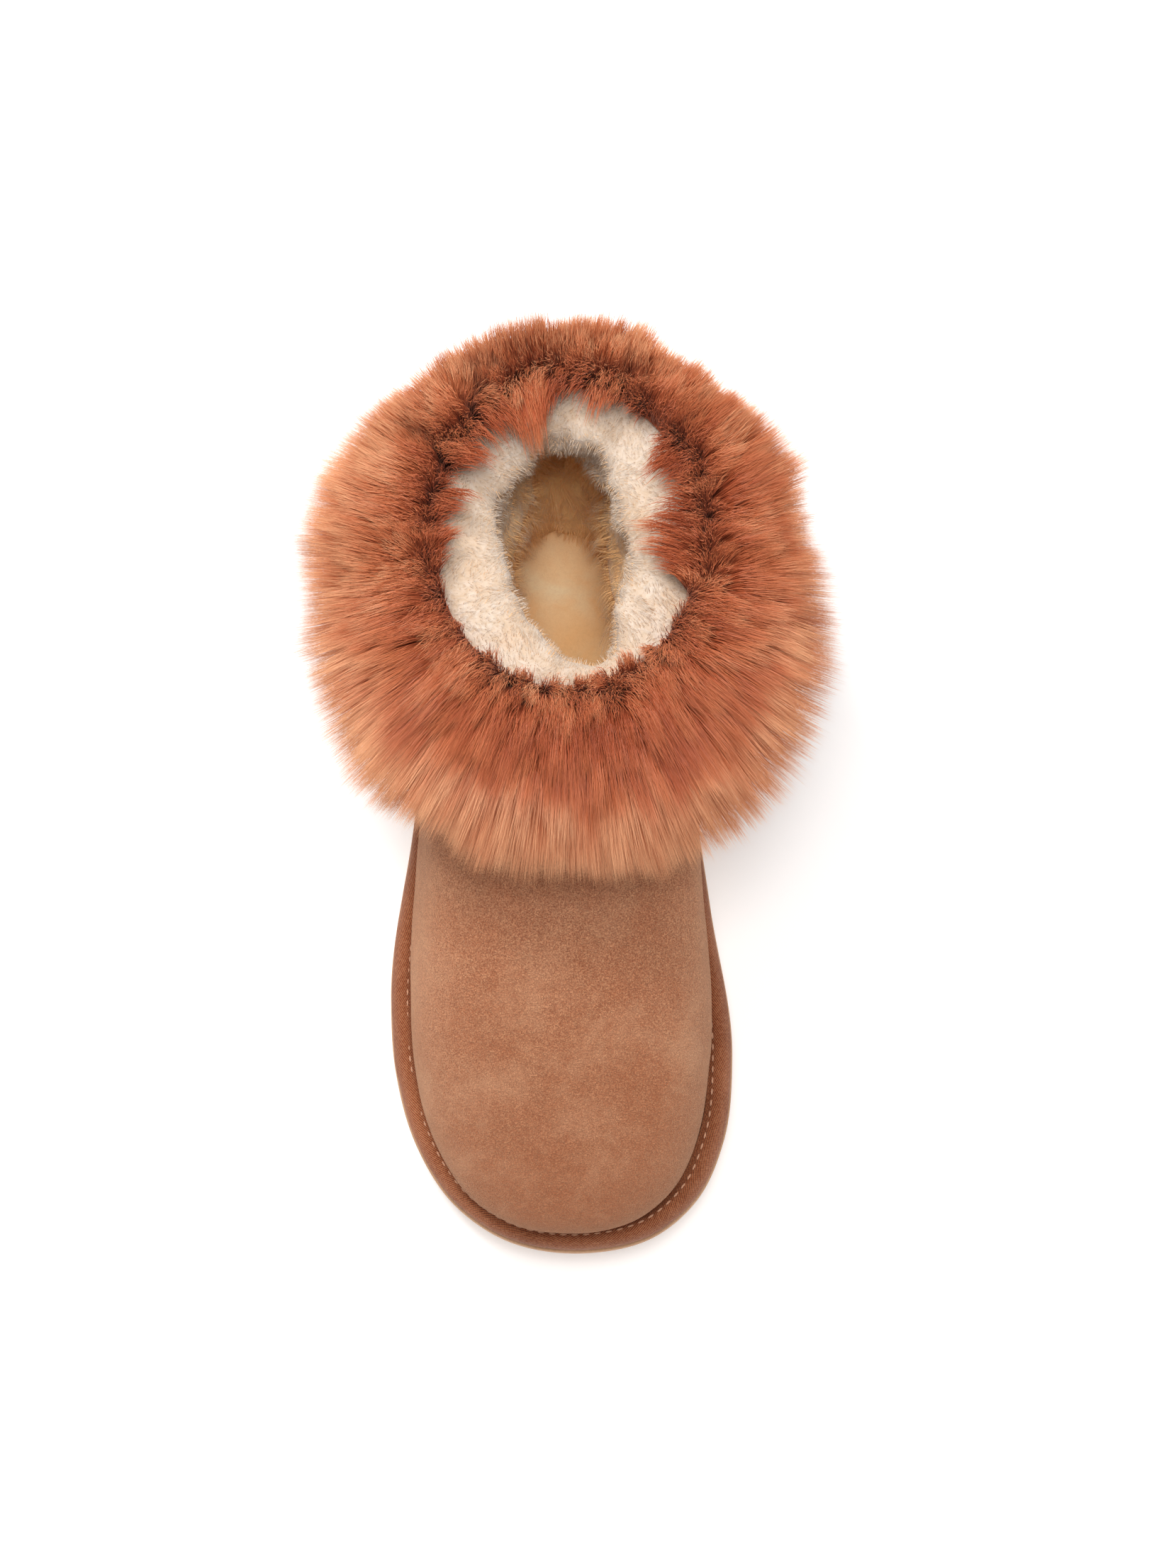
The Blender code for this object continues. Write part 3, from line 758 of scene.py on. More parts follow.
def groove_cut(y):
    """How deep a groove is at this y."""
    away = np.min([np.abs(y - groove) for groove in HEEL_GROOVES + BALL_GROOVES], axis=0)
    return GROOVE_DEPTH * (1 - smooth_step((away - GROOVE_HALF) / GROOVE_SIDE))


def sole_ring(turn, inset, share, rise, grooved=False):
    """A ring at a share of the way from the underside to the upper side, moved up by rise."""
    place = outline(turn, np.broadcast_to(inset, turn.shape))
    y = place[:, 1]
    height = mix(sole_bottom(y), sole_top(y), share) + rise
    if grooved:
        height = height + groove_cut(y)
    return np.column_stack([place, height])


def lid_faces(start, count, turned=False):
    """Strips across a closed ring of count points, whose first point is at its back."""
    half = count // 2
    faces = [(start, start + 1, start + count - 1)]
    for k in range(1, half - 1):
        faces.append((start + k, start + k + 1, start + count - k - 1, start + count - k))
    faces.append((start + half - 1, start + half, start + half + 1))
    return [face[::-1] for face in faces] if turned else faces


def make_sole():
    count = 480
    turn = np.arange(count) / count
    rib = 0.35 * MM * (0.5 + 0.5 * np.sin(2 * math.pi * turn * WALL_RIBS))
    rows = [
        sole_ring(turn, WALL_INSET + 3.6 * MM, 0, 0, grooved=True),
        sole_ring(turn, WALL_INSET + 3.0 * MM, 0, 0.15 * MM, grooved=True),
        sole_ring(turn, WALL_INSET + UNDERCUT, 0, GROOVE_DEPTH),
    ]
    for share in (0.2, 0.4, 0.6, 0.8, 1.0):
        inset = WALL_INSET + UNDERCUT * (1 - share) + rib * (share < 1.0)
        rows.append(sole_ring(turn, inset, share, mix(2.6, -5.4, share) * MM))
    rows += [
        sole_ring(turn, WALL_INSET - 0.3 * MM, 1, -4.9 * MM),
        sole_ring(turn, LIP_INSET + 0.15 * MM, 1, -4.2 * MM),
        sole_ring(turn, LIP_INSET, 1, -3.8 * MM),
        sole_ring(turn, LIP_INSET, 1, -1.0 * MM),
        sole_ring(turn, LIP_INSET + 0.25 * MM, 1, -0.3 * MM),
        sole_ring(turn, LIP_INSET + 0.9 * MM, 1, 0),
    ]
    lids = lid_faces(0, count) + lid_faces((len(rows) - 1) * count, count, turned=True)
    return grid_piece("foam_sole", np.array(rows), foam, flip=True, extra_faces=lids)


finished(make_sole(), "foam_sole", "outsole")

# %% [markdown]
# ## The binding
#
# The taped edge is a soft bead. A curve with a bevel would give its section, but not the dip where the seam
# pulls it down, nor a map in metres. So it is made as rings that run round the foot, one for each corner
# of a rounded section. The map counts metres along the tape, so the ribs keep their pitch round the toe.

# %% Binding
TAPE_WIDTH = 7 * MM
TAPE_HEIGHT = 8.2 * MM
TAPE_GAP = 0.3 * MM  # between the tape and the sole
# Shares of the width inwards and of the height, up the outside, over the top and down the inside
TAPE_SECTION = np.array(
    [
        (0.030, 0.00),
        (0.000, 0.10),
        (-0.010, 0.30),
        (0.000, 0.52),
        (0.040, 0.68),
        (0.110, 0.80),
        (0.220, 0.90),
        (0.360, 0.965),
        (0.520, 0.99),
        (0.660, 0.965),
        (0.780, 0.90),
        (0.860, 0.82),
        (0.930, 0.85),
        (1.000, 0.90),
        (1.010, 0.50),
        (1.000, 0.00),
    ]
)


def make_binding():
    count = 900
    turn = np.arange(count) / count
    wander = np.array([0.25 * noise.noise(Vector((t * 60, 3.1, 0))) * MM for t in turn])
    rows = []
    for inset, rise in TAPE_SECTION:
        place = outline(turn, np.full(count, inset * TAPE_WIDTH) + wander * (rise > 0.3))
        height = sole_top(place[:, 1]) + TAPE_GAP + TAPE_HEIGHT * rise + wander * (rise > 0.6)
        rows.append(np.column_stack([place, height]))
    edge = outline(turn, np.zeros(count))
    steps = np.hypot(*(np.roll(edge, -1, axis=0) - edge).T)
    lengths = np.concatenate([[0], np.cumsum(steps)])
    widths = np.hypot(*(np.diff(TAPE_SECTION, axis=0) * [TAPE_WIDTH, TAPE_HEIGHT]).T)
    widths = np.concatenate([[0], np.cumsum(widths)])
    shape = (len(TAPE_SECTION), count)
    along, across = np.broadcast_to(lengths[:-1], shape), np.broadcast_to(widths[:, None], shape)
    maps = (along, across, lengths[-1])
    return grid_piece(
        "edge_binding", np.array(rows), tape_finish, closed_rows=True, flip=True, maps=maps
    )


finished(make_binding(), "edge_tape", "binding")

# %% [markdown]
# ## The suede upper
#
# The upper is a skin that swells over the binding, crosses the vamp and climbs to the collar. A rough cage
# could be subdivided, but it would drift away from the solid. So the grid follows the table of rings, and
# small soft waves are added where the seam gathers the skin and where a foot would bend it.

# %% Upper
SKIN_EDGE = ((0.4, 0.5), (1.4, 0.9), (3.0, 1.0))  # the turned edge at the collar: in and up, in mm


def waves(points, size, seed):
    """Soft noise at points, about -1 to 1, in lumps of one size."""
    shift = Vector((seed, 2 * seed, 3 * seed))
    values = [noise.noise(Vector(point) / size + shift) for point in points.reshape(-1, 3)]
    return np.array(values).reshape(points.shape[:-1])


def make_upper():
    turn = np.arange(240)[None, :] / 240
    level = np.linspace(0, COLLAR, 105)[:, None]
    points = upper(turn, level)
    out = upper_out(turn, level)
    low = smooth_step((level - 0.6) / 1.2) * smooth_step((5.0 - level) / 2.5)
    lift = 0.55 * waves(points, 38 * MM, 5.0) * smooth_step((level - 1.5) / 2)
    lift = lift + 0.30 * waves(points, 13 * MM, 9.0) * low
    rings = [points + out * lift[..., None] * MM]
    rim = upper(turn[0], COLLAR)
    into = upper_out(turn[0], COLLAR)
    into[:, 2] = 0
    for inward, up in SKIN_EDGE:
        rings.append((rim - into * inward * MM + np.array([0, 0, up * MM]))[None])
    return grid_piece("suede_upper", np.concatenate(rings), suede)


finished(make_upper(), "suede", "upper")

# %% [markdown]
# ## The fleece lining
#
# Inside, the wool is clipped but still deep. It swells over the collar as a soft roll, gathers into folds
# at the ankle and closes over the footbed's edge. It could be sculpted by hand, but then it couldn't follow
# a change of the boot's size. So it is a grid from the sole up the inner wall and out over the rim, and its
# lumps come from layers of noise.

# %% Lining
# How far the wool swells past the wall's inner face at the footbed, at the ankle and at the collar, and
# how far the tips of the inmost fur fall into the opening. In mm, at even steps from the back.
WOOL_FOOT = [8, 7, 5, 4, 3, 2, 2, 2, 2, 2, 2, 2, 4, 6, 7, 7]
WOOL_ANKLE = [10, 10, 11, 12, 12, 8, 4, 3, 3, 3, 4, 8, 12, 12, 11, 10]
WOOL_ROLL = [15, 16, 17, 18, 18, 16, 15, 5, 8, 13, 16, 17, 17, 16, 15, 14]
FUR_FALL = [25, 24, 15, 26, 31, 20, 9, 9, 9, 9, 9, 11, 18, 27, 28, 27]
WOOL_HEEL = 12 * MM  # how much further forward the wool of the heel reaches at the footbed
WOOL_FLOOR = 4.2 * MM  # the lowest wool's height over the sole, which is inside the footbed


def wool_depth(turn, level, wall):
    """How far the wool stands in from the wall, in mm."""
    toe = near_toe(turn) ** 2
    low = smooth_step((6.5 - level) / 4.0)
    top = smooth_step((level - 8.0) / 4.5)
    folds = 0.6 * waves(wall, 22 * MM, 3.0) + 0.4 * waves(wall * [1, 1, 0.6], 10 * MM, 7.0)
    curls = waves(wall, 4.5 * MM, 11.0)
    depth = mix(around_table(WOOL_ANKLE, turn), around_table(WOOL_FOOT, turn), low)
    depth = mix(depth, around_table(WOOL_ROLL, turn), top)
    depth = depth + 7.0 * folds * (1 - 0.6 * toe) * (1 - 0.6 * low) + 1.1 * curls
    return np.maximum(depth, 1.0)


def wool_roll(rim, into, reach):
    """Rings of the roll over the rim, from inside to outside. reach is how far it stands in."""
    rings = []
    for share in np.linspace(0.08, 1.0, 14):
        angle = share * math.pi
        middle = reach / 2 + 0.8 * MM
        ring = rim + into * (middle + (reach / 2 - 0.8 * MM) * math.cos(angle))[:, None]
        ring[:, 2] = rim[:, 2] + (0.2 * reach + 1.5 * MM) * math.sin(angle)
        ring[:, 2] += 1.4 * MM * waves(ring, 8 * MM, 13.0) * math.sin(angle)
        rings.append(ring)
    return np.array(rings)


def lining_surface(count, rows):
    """Rings of points from the footbed up the inner wall and over the rim, and how deep each lies."""
    turn = np.arange(count)[None, :] / count
    level = np.linspace(0, COLLAR, rows)[:, None]
    out = upper_out(turn, level)
    wall = upper(turn, level) - out * WALL
    points = wall - out * (wool_depth(turn, level, wall) * MM)[..., None]
    back = near_back(turn) ** 4
    points[..., 1] -= WOOL_HEEL * smooth_step((6.5 - level) / 4.0) * back
    points[..., 2] = np.maximum(points[..., 2], sole_top(points[..., 1]) + WOOL_FLOOR)
    rim = upper(turn[0], COLLAR)
    into = -out[-1]
    into[:, 2] = 0
    edge = wool_roll(rim, into, np.sum((points[-1] - rim) * into, axis=1))
    # How deep each point lies, for the pile's length and for the painted warm bounce light, partly the
    # heel's browner wool
    down = smooth_step((11.0 - level) / 4.5) * mix(0.75, 1.0, back)
    return np.concatenate([points, edge]), np.concatenate([down, np.zeros((len(edge), count))])


def make_lining():
    rings, down = lining_surface(260, 90)
    piece = grid_piece("fleece_lining", rings, fleece, flip=True)
    # down carries the painted warm bounce light to the fleece's finish
    layer = piece.data.attributes.new("down", "FLOAT", "POINT")
    layer.data.foreach_set("value", down.ravel())
    return finished(piece, "footbed_fleece", "upper")


make_lining()

# %% [markdown]
# ## The footbed
#
# A pad of pressed fleece, with a rounded edge under the lining's wool and a slight dish where the foot
# stands. A flat plate would look hard here, so its rings shrink towards the middle line and sink as they go.

# %% Footbed
FOOTBED_INSET = UPPER_INSET + WALL + 0.6 * MM
FOOTBED_EDGE = 5.3 * MM
FOOTBED_DISH = 0.8 * MM


def footbed_ring(place, height):
    return np.column_stack([place, sole_top(place[:, 1]) + height])


def make_footbed_piece():
    count = 200
    turn = np.arange(count) / count
    side = outline(turn, np.full(count, FOOTBED_INSET))
    edge = outline(turn, np.full(count, FOOTBED_INSET + 0.5 * MM))
    middle = np.column_stack([edge[:, 0] * 0, edge[:, 1]])
    rows = [footbed_ring(side, 0.3 * MM), footbed_ring(side, 4.1 * MM), footbed_ring(edge, 4.9 * MM)]
    for share in (0.03, 0.1, 0.22, 0.36, 0.5, 0.64, 0.78, 0.9):
        height = FOOTBED_EDGE - FOOTBED_DISH * math.sin(share * math.pi / 2)
        rows.append(footbed_ring(mix(edge, middle, share), height))
    rings = np.array(rows)
    rings[3:, :, 2] += 0.25 * MM * waves(rings[3:], 22 * MM, 17.0)
    lids = lid_faces(0, count) + lid_faces((len(rows) - 1) * count, count, turned=True)
    return grid_piece("fleece_footbed", rings, footbed_finish, flip=True, extra_faces=lids)


finished(make_footbed_piece(), "footbed_fleece", "insole")

# %% [markdown]
# ## Stitches
#
# The binding's seam runs where the tape meets the suede. A stitch is the same small thing again and again
# along a path, which is what Geometry Nodes do best: the path is resampled at the stitch pitch, and a short
# bead of thread is placed and turned at each point.


# %% Geometry Nodes helpers
def geometry_tree(name, inputs):
    """A tree with a geometry input and output, and named inputs with their first values."""
    kinds = {float: "NodeSocketFloat", int: "NodeSocketInt", type(None): "NodeSocketMaterial"}
    tree = bpy.data.node_groups.new(name, "GeometryNodeTree")
    tree.interface.new_socket("Geometry", in_out="INPUT", socket_type="NodeSocketGeometry")
    tree.interface.new_socket("Geometry", in_out="OUTPUT", socket_type="NodeSocketGeometry")
    for title, value in inputs.items():
        socket = tree.interface.new_socket(title, in_out="INPUT", socket_type=kinds[type(value)])
        if value is not None:
            socket.default_value = value
    nodes = Nodes(tree)
    entry = tree.nodes.new("NodeGroupInput")
    wires = {socket.name: Wire(nodes, socket) for socket in entry.outputs if socket.name}
    return tree, nodes, wires


def close_tree(nodes, geometry, material):
    real = nodes.add("GeometryNodeSetMaterial", {}, {"Geometry": geometry, "Material": material})
    nodes.add("NodeGroupOutput", {}, {0: real})


def grow(carrier, tree, values, name, slot, *replaced):
    """Run a tree on a carrier, keep the result as a plain mesh and drop the carrier."""
    modifier = carrier.modifiers.new(tree.name, "NODES")
    modifier.node_group = tree
    for item in tree.interface.items_tree:
        if item.in_out == "INPUT" and item.name in values:
            modifier[item.identifier] = values[item.name]
    graph = bpy.context.evaluated_depsgraph_get()
    mesh = bpy.data.meshes.new_from_object(carrier.evaluated_get(graph))
    mesh.name = name
    for attribute in [a for a in mesh.attributes if a.name.startswith("hair_")]:
        mesh.attributes.remove(attribute)
    carrier.modifiers.remove(modifier)
    bpy.data.objects.remove(carrier)
    return finished(new_piece(name, mesh), slot, *replaced)


# %% The stitch tree
def make_stitch_tree():
    sizes = {"Pitch": 3.3 * MM, "Length": 2.1 * MM, "Thickness": 0.62 * MM, "Thread": None}
    tree, nodes, wires = geometry_tree("stitches_along_a_path", sizes)
    path = nodes.add(
        "GeometryNodeResampleCurve",
        {"mode": "LENGTH"},
        {"Curve": wires["Geometry"], "Length": wires["Pitch"]},
    )
    tangent = nodes.add("GeometryNodeInputTangent")
    turned = nodes.add("FunctionNodeAlignRotationToVector", {"axis": "X"}, {"Vector": tangent})
    bead = nodes.add("GeometryNodeMeshUVSphere", {}, {"Segments": 8, "Rings": 6, "Radius": 0.5})
    thickness = wires["Thickness"]
    size = nodes.add("ShaderNodeCombineXYZ", {}, {0: wires["Length"], 1: thickness, 2: thickness})
    placed = nodes.add(
        "GeometryNodeInstanceOnPoints",
        {},
        {"Points": path, "Instance": bead, "Rotation": turned, "Scale": size},
    )
    real = nodes.add("GeometryNodeRealizeInstances", {}, {"Geometry": placed})
    smooth = nodes.add("GeometryNodeSetShadeSmooth", {}, {"Geometry": real})
    close_tree(nodes, smooth, wires["Thread"])
    return tree


stitch_tree = make_stitch_tree()


def path_object(points):
    """A closed path through points."""
    curve = bpy.data.curves.new("path", "CURVE")
    curve.dimensions = "3D"
    spline = curve.splines.new("POLY")
    spline.points.add(len(points) - 1)
    spline.points.foreach_set("co", np.column_stack([points, np.ones(len(points))]).ravel())
    spline.use_cyclic_u = True
    return new_piece("path", curve)


# %% The binding's stitches
def binding_path():
    """Just inside the tape. Round the toe it lies nearer the outside and a little higher."""
    turn = np.arange(700) / 700
    toe = near_toe(turn) ** 8
    sideways = np.sin(2 * math.pi * turn) * toe**0.5
    place = outline(turn, (mix(5.2, 4.0, toe) + 1.5 * sideways) * MM)
    return np.column_stack([place, sole_top(place[:, 1]) + mix(7.85, 8.4, toe) * MM])


seam = path_object(binding_path())
grow(seam, stitch_tree, {"Thread": thread}, "binding_stitches", "edge_tape")

# %% [markdown]
# ## The fur cuff
#
# The cuff is a strip of long-wool sheepskin. Its hair leaves the skin nearly square, bows under its own
# weight and gathers into locks at the tips. Over the collar's rim the hair turns and falls into the opening,
# and the line where it parts wanders a little. Strips with a picture of hair would look flat from near, so
# each hair is a thin blade of its own, a little wider than a real one.
#
# A guide surface stands for the skin. Each of its points holds two arrows: one to where its hair's tip
# hangs, and one for how the hair bows on the way.

# %% The cuff's rules
# How far the fur stands out from the collar, at even steps from the back round the inner side
FUR_DEPTH = np.array([0.30, 0.34, 0.64, 1.0, 0.96, 0.89, 0.73, 0.385]) * 46 * MM
FUR_CROWN = 16 * MM  # how far it stands above the collar
FUR_DROP_BACK, FUR_DROP_FRONT = 50, 40  # how far it hangs below the collar, in mm
HEM_BACK, HEM_FRONT = 8.6, 10.1  # the upper's rings that the strip's hem is sewn to
RIM_SHARE = 0.60  # where the skin passes over the collar
# Even steps over the skin, from the hem to its inner edge. Columns: the tips' reach in shares of the
# depth, how much of the fall into the opening they have, their rise in shares of the cuff's height,
# and the hair's lift above a straight line in shares of its length.
COMB = np.array(
    [
        (0.75, 0.00, -0.15, 0.06),
        (0.85, 0.00, -0.08, 0.10),
        (0.94, 0.00, 0.02, 0.14),
        (1.00, 0.00, 0.14, 0.18),
        (1.03, 0.00, 0.28, 0.23),
        (1.02, 0.00, 0.43, 0.27),
        (0.99, 0.00, 0.57, 0.31),
        (0.94, 0.00, 0.70, 0.34),
        (0.87, 0.00, 0.82, 0.36),
        (0.80, 0.00, 0.92, 0.38),
        (0.72, 0.00, 0.98, 0.38),
        (0.58, 0.00, 1.03, 0.42),
        (0.40, 0.06, 1.04, 0.50),
        (0.20, 0.34, 1.04, 0.57),
        (0.05, 0.75, 1.01, 0.62),
        (0.00, 1.10, 0.96, 0.62),
    ]
)
SWEEP = 0.24  # how far the hair of the sides is combed back, in shares of its reach


def cuff_frame(turn):
    """At places round the leg: the rim, the level way out, the fur's depth and its lowest height."""
    rim = upper(turn, np.full(turn.shape, float(COLLAR)))
    out = upper_out(turn, np.full(turn.shape, float(COLLAR)))
    out[..., 2] = 0
    out /= np.linalg.norm(out, axis=-1, keepdims=True)
    low = rim[..., 2] - mix(FUR_DROP_BACK, FUR_DROP_FRONT, near_toe(turn)) * MM
    return rim, out, around_table(FUR_DEPTH, turn), low


def cuff_skin(turn, share):
    """Points of the cuff's skin. share runs from the hem, 0, over the collar to its inner edge, 1."""
    rim, out, depth, _ = cuff_frame(turn)
    climb = np.clip(share / RIM_SHARE, 0, 1)
    level = mix(mix(HEM_BACK, HEM_FRONT, near_toe(turn)), float(COLLAR), climb)
    stand = 3.0 * MM + 0.12 * depth
    swell = (stand * np.sqrt(climb + 0.02))[..., None]
    outside = upper(turn, level) + upper_out(turn, level) * swell
    angle = np.clip((share - RIM_SHARE) / (1 - RIM_SHARE), 0, 1) * math.pi
    inner = mix(8.0, 4.0, near_toe(turn) ** 2) * MM
    centre, radius = 0.5 * (stand - inner), 0.5 * (stand + inner)
    top = rim + out * (centre + radius * np.cos(angle))[..., None]
    top[..., 2] = rim[..., 2] + (4.5 * np.sin(angle) + 7.0 * (angle / math.pi) ** 2) * MM
    return np.where((share <= RIM_SHARE)[..., None], outside, top)


def cuff_tips(turn, share):
    """Where the hair from each point of the skin ends, and how far it lifts on the way."""
    rim, out, depth, low = cuff_frame(turn)
    place = share * (len(COMB) - 1)
    reach, inside, rise, lift = (along_table(column, place) for column in COMB.T)
    fall = around_table(FUR_FALL, turn) * MM
    tips = rim + out * (reach * depth - inside * fall)[..., None]
    tips[..., 1] += SWEEP * np.sin(2 * math.pi * turn) ** 4 * reach * depth
    tips[..., 2] = mix(low, rim[..., 2] + FUR_CROWN, rise)
    return tips, lift


def grid_area(points, weight):
    """The area of an open grid of points, each cell counted by its weight."""
    along, up = np.diff(points, axis=1)[:-1], np.diff(points, axis=0)[:, :-1]
    return (np.linalg.norm(np.cross(along, up), axis=-1) * weight[:-1, :-1]).sum()


def guide(skin, arrows, numbers):
    """A carrier for hair, an open grid with its arrows and numbers, and its area in square metres."""
    rows, columns = skin.shape[:2]
    row, here = np.arange(rows - 1)[:, None] * columns, np.arange(columns - 1)[None, :]
    quads = [row + here, row + here + 1, row + here + 1 + columns, row + here + columns]
    mesh = bpy.data.meshes.new("guide")
    mesh.from_pydata(skin.reshape(-1, 3).tolist(), [], np.stack(quads, -1).reshape(-1, 4).tolist())
    for title, values in arrows.items():
        layer = mesh.attributes.new(title, "FLOAT_VECTOR", "POINT")
        layer.data.foreach_set("vector", values.ravel())
    for title, values in numbers.items():
        layer = mesh.attributes.new(title, "FLOAT", "POINT")
        layer.data.foreach_set("value", values.ravel())
    return new_piece("guide", mesh), grid_area(skin, numbers["fullness"])


def out_of(skin):
    """The way out of a grid of points whose rows climb the outside of the leg."""
    square = np.cross(np.gradient(skin, axis=0), np.gradient(skin, axis=1))
    return square / (np.linalg.norm(square, axis=-1, keepdims=True) + 1e-12)


# %% The fur's guide
PARTING = 0.88  # the share of the skin where the hair turns to fall into the opening


def fur_numbers(turn, share):
    """How full the fur is at points of the skin, its painted light and shade, and how uneven in length."""
    back = near_back(turn) ** 3
    front = np.clip(-np.cos(2 * math.pi * turn), 0, 1) ** 2
    left = np.clip(-np.sin(2 * math.pi * turn), 0, 1)
    parting = np.exp(-(((share - PARTING) / 0.07) ** 2))
    fullness = 0.8 + 0.3 * smooth_step(share / 0.5)
    fullness = fullness + smooth_step((share - 0.52) / 0.16) + 2.6 * parting
    painted_light_tones = [
        # Painted shade on the inner hair that stands up and falls into the opening. It starts later at the
        # back, and also on the outer (left) side, as painted light from the key lamp's side
        0.24 * smooth_step((share - 0.46 - 0.2 * back - 0.14 * left) / 0.38),
        # Painted shade on the dark ridge at the front, where the hair parts
        0.32 * front * np.exp(-(((share - 0.74) / 0.13) ** 2)),
        # Painted light on the short hair at the front of the opening's edge, which lies in shade
        -0.28 * front * smooth_step((share - 0.82) / 0.12),
        # Painted shade on the hair of the front's hem
        0.12 * front * (1 - smooth_step(share / 0.5)),
        # Painted shade on the inner edge, round the sides and the back
        0.2 * smooth_step((share - 0.8) / 0.15) * (1 - front),
        # Painted light on the outer hair of the back, where light comes through its thin pale tips
        -0.4 * back * (1 - smooth_step(share / 0.7)),
    ]
    uneven = mix(0.3, 1.0, smooth_step(share / 0.55)) + 2.2 * back * (1 - share)
    return {"fullness": fullness, "tone": sum(painted_light_tones), "uneven": uneven}


def fur_guide(first, last, columns=90, rows=60):
    """The skin between two turns, with its arrows."""
    turn = np.linspace(first, last, columns)[None, :] + np.zeros((rows, 1))
    share = np.linspace(0, 1, rows)[:, None] + np.zeros((1, columns))
    skin = cuff_skin(turn, share)
    wander = 0.07 * waves(skin, 9 * MM, 31.0) + 0.05 * waves(skin, 3.5 * MM, 37.0)
    combed = np.clip(share + wander * smooth_step((share - 0.5) / 0.2), 0, 1)
    tips, lift = cuff_tips(turn, combed)
    reach = tips - skin
    length = np.linalg.norm(reach, axis=-1, keepdims=True)
    up = np.array([0, 0, 1.0])
    aside = mix(-0.15, 0.12, smooth_step((share - 0.76) / 0.14))[..., None]
    bow = 0.42 * reach + lift[..., None] * length * up + aside * length * out_of(skin)
    return guide(skin, {"reach": reach, "bow": bow}, fur_numbers(turn, share))


# %% [markdown]
# A head of hair is one blade again and again, which is work for Geometry Nodes. They scatter the hairs on
# the guide, pull the tips towards the nearest centre twice, first for wide tufts and then for fine locks,
# and bend each blade along a curve. The wool's pile uses the same tree with other sizes.

# %% What the hair tree reads and draws
def named_arrow(nodes, name):
    settings = {"data_type": "FLOAT_VECTOR"}
    return nodes.add("GeometryNodeInputNamedAttribute", settings, {"Name": name})


def named_number(nodes, name):
    return nodes.add("GeometryNodeInputNamedAttribute", {"data_type": "FLOAT"}, {"Name": name})


def stored(nodes, geometry, name, value, kind="FLOAT_VECTOR"):
    """The geometry, with a value kept under a name at each of its points."""
    sockets = {"Geometry": geometry, "Name": name, "Value": value}
    return nodes.add("GeometryNodeStoreNamedAttribute", {"data_type": kind}, sockets)


def drawn_number(nodes, seed, low, high, identity=None):
    """A random number for each hair, or for each lock where identity is its number."""
    sockets = {2: low, 3: high, "Seed": seed}
    if identity is not None:
        sockets["ID"] = identity
    return nodes.add("FunctionNodeRandomValue", {"data_type": "FLOAT"}, sockets, out=1)


def drawn_arrow(nodes, seed, size, identity=None):
    """A random arrow, at most size long each way."""
    sockets = {0: (-1, -1, -1), 1: (1, 1, 1), "Seed": seed}
    if identity is not None:
        sockets["ID"] = identity
    return nodes.add("FunctionNodeRandomValue", {"data_type": "FLOAT_VECTOR"}, sockets) * size


def drifting_arrow(nodes, place, fineness, detail, size):
    """An arrow that changes slowly from place to place."""
    sockets = {"Vector": place, "Scale": fineness, "Detail": detail}
    return (nodes.add("ShaderNodeTexNoise", {}, sockets, out=1) - 0.5) * (size * 4.0)


def scattered(nodes, wires, method, sockets):
    """Points on the guide."""
    settings = {"distribute_method": method}
    sockets = {"Mesh": wires["Geometry"], "Seed": wires["Seed"], **sockets}
    return nodes.add("GeometryNodeDistributePointsOnFaces", settings, sockets)


def vector_maths(nodes, operation, *values):
    return nodes.add("ShaderNodeVectorMath", {"operation": operation}, dict(enumerate(values)))


# %% A tuft's pull
def pulled(nodes, wires, kind, most, shift, root, tip):
    """The tips, pulled towards where their tuft's or lock's own tip is, and the number of that lock."""
    seed = wires["Seed"]
    spacing = {"Distance Min": wires[f"{kind} spacing"], "Density Max": most}
    centres = scattered(nodes, wires, "POISSON", spacing)
    nearest = {"Geometry": centres, "Sample Position": root}
    number = nodes.add("GeometryNodeSampleNearest", {}, nearest)

    def at_centre(value):
        sockets = {"Geometry": centres, "Value": value, "Index": number}
        return nodes.add("GeometryNodeSampleIndex", {"data_type": "FLOAT_VECTOR"}, sockets)

    scatter = drawn_arrow(nodes, seed + shift, wires[f"{kind} scatter"], number)
    centre = at_centre(nodes.add("GeometryNodeInputPosition"))
    target = centre + at_centre(named_arrow(nodes, "reach")) + scatter
    pull = wires[f"{kind} pull"] * drawn_number(nodes, seed + (shift + 3), 0.6, 1.1)
    return tip + (target - tip) * pull, number


# %% A blade, and how it bends
def hair_blade(nodes, joints):
    """One hair before it is bent: a strip that narrows to a point."""
    sizes = {"Size X": 1.0, "Size Y": 1.0, "Vertices X": 2, "Vertices Y": joints}
    blade = nodes.add("GeometryNodeMeshGrid", {}, sizes)
    split = nodes.add("ShaderNodeSeparateXYZ", {}, {0: nodes.add("GeometryNodeInputPosition")})
    along = nodes.also(split, 1) + 0.5
    across = split * (1.0 - along * along)
    blade = stored(nodes, blade, "along", along, "FLOAT")
    blade = stored(nodes, blade, "hair_across", across, "FLOAT")
    flat = nodes.add("ShaderNodeCombineXYZ", {}, {0: across, 1: along})
    blade = nodes.add("GeometryNodeSetPosition", {}, {"Geometry": blade, "Position": flat})
    return nodes.add("GeometryNodeMergeByDistance", {}, {"Geometry": blade, "Distance": 0.001})


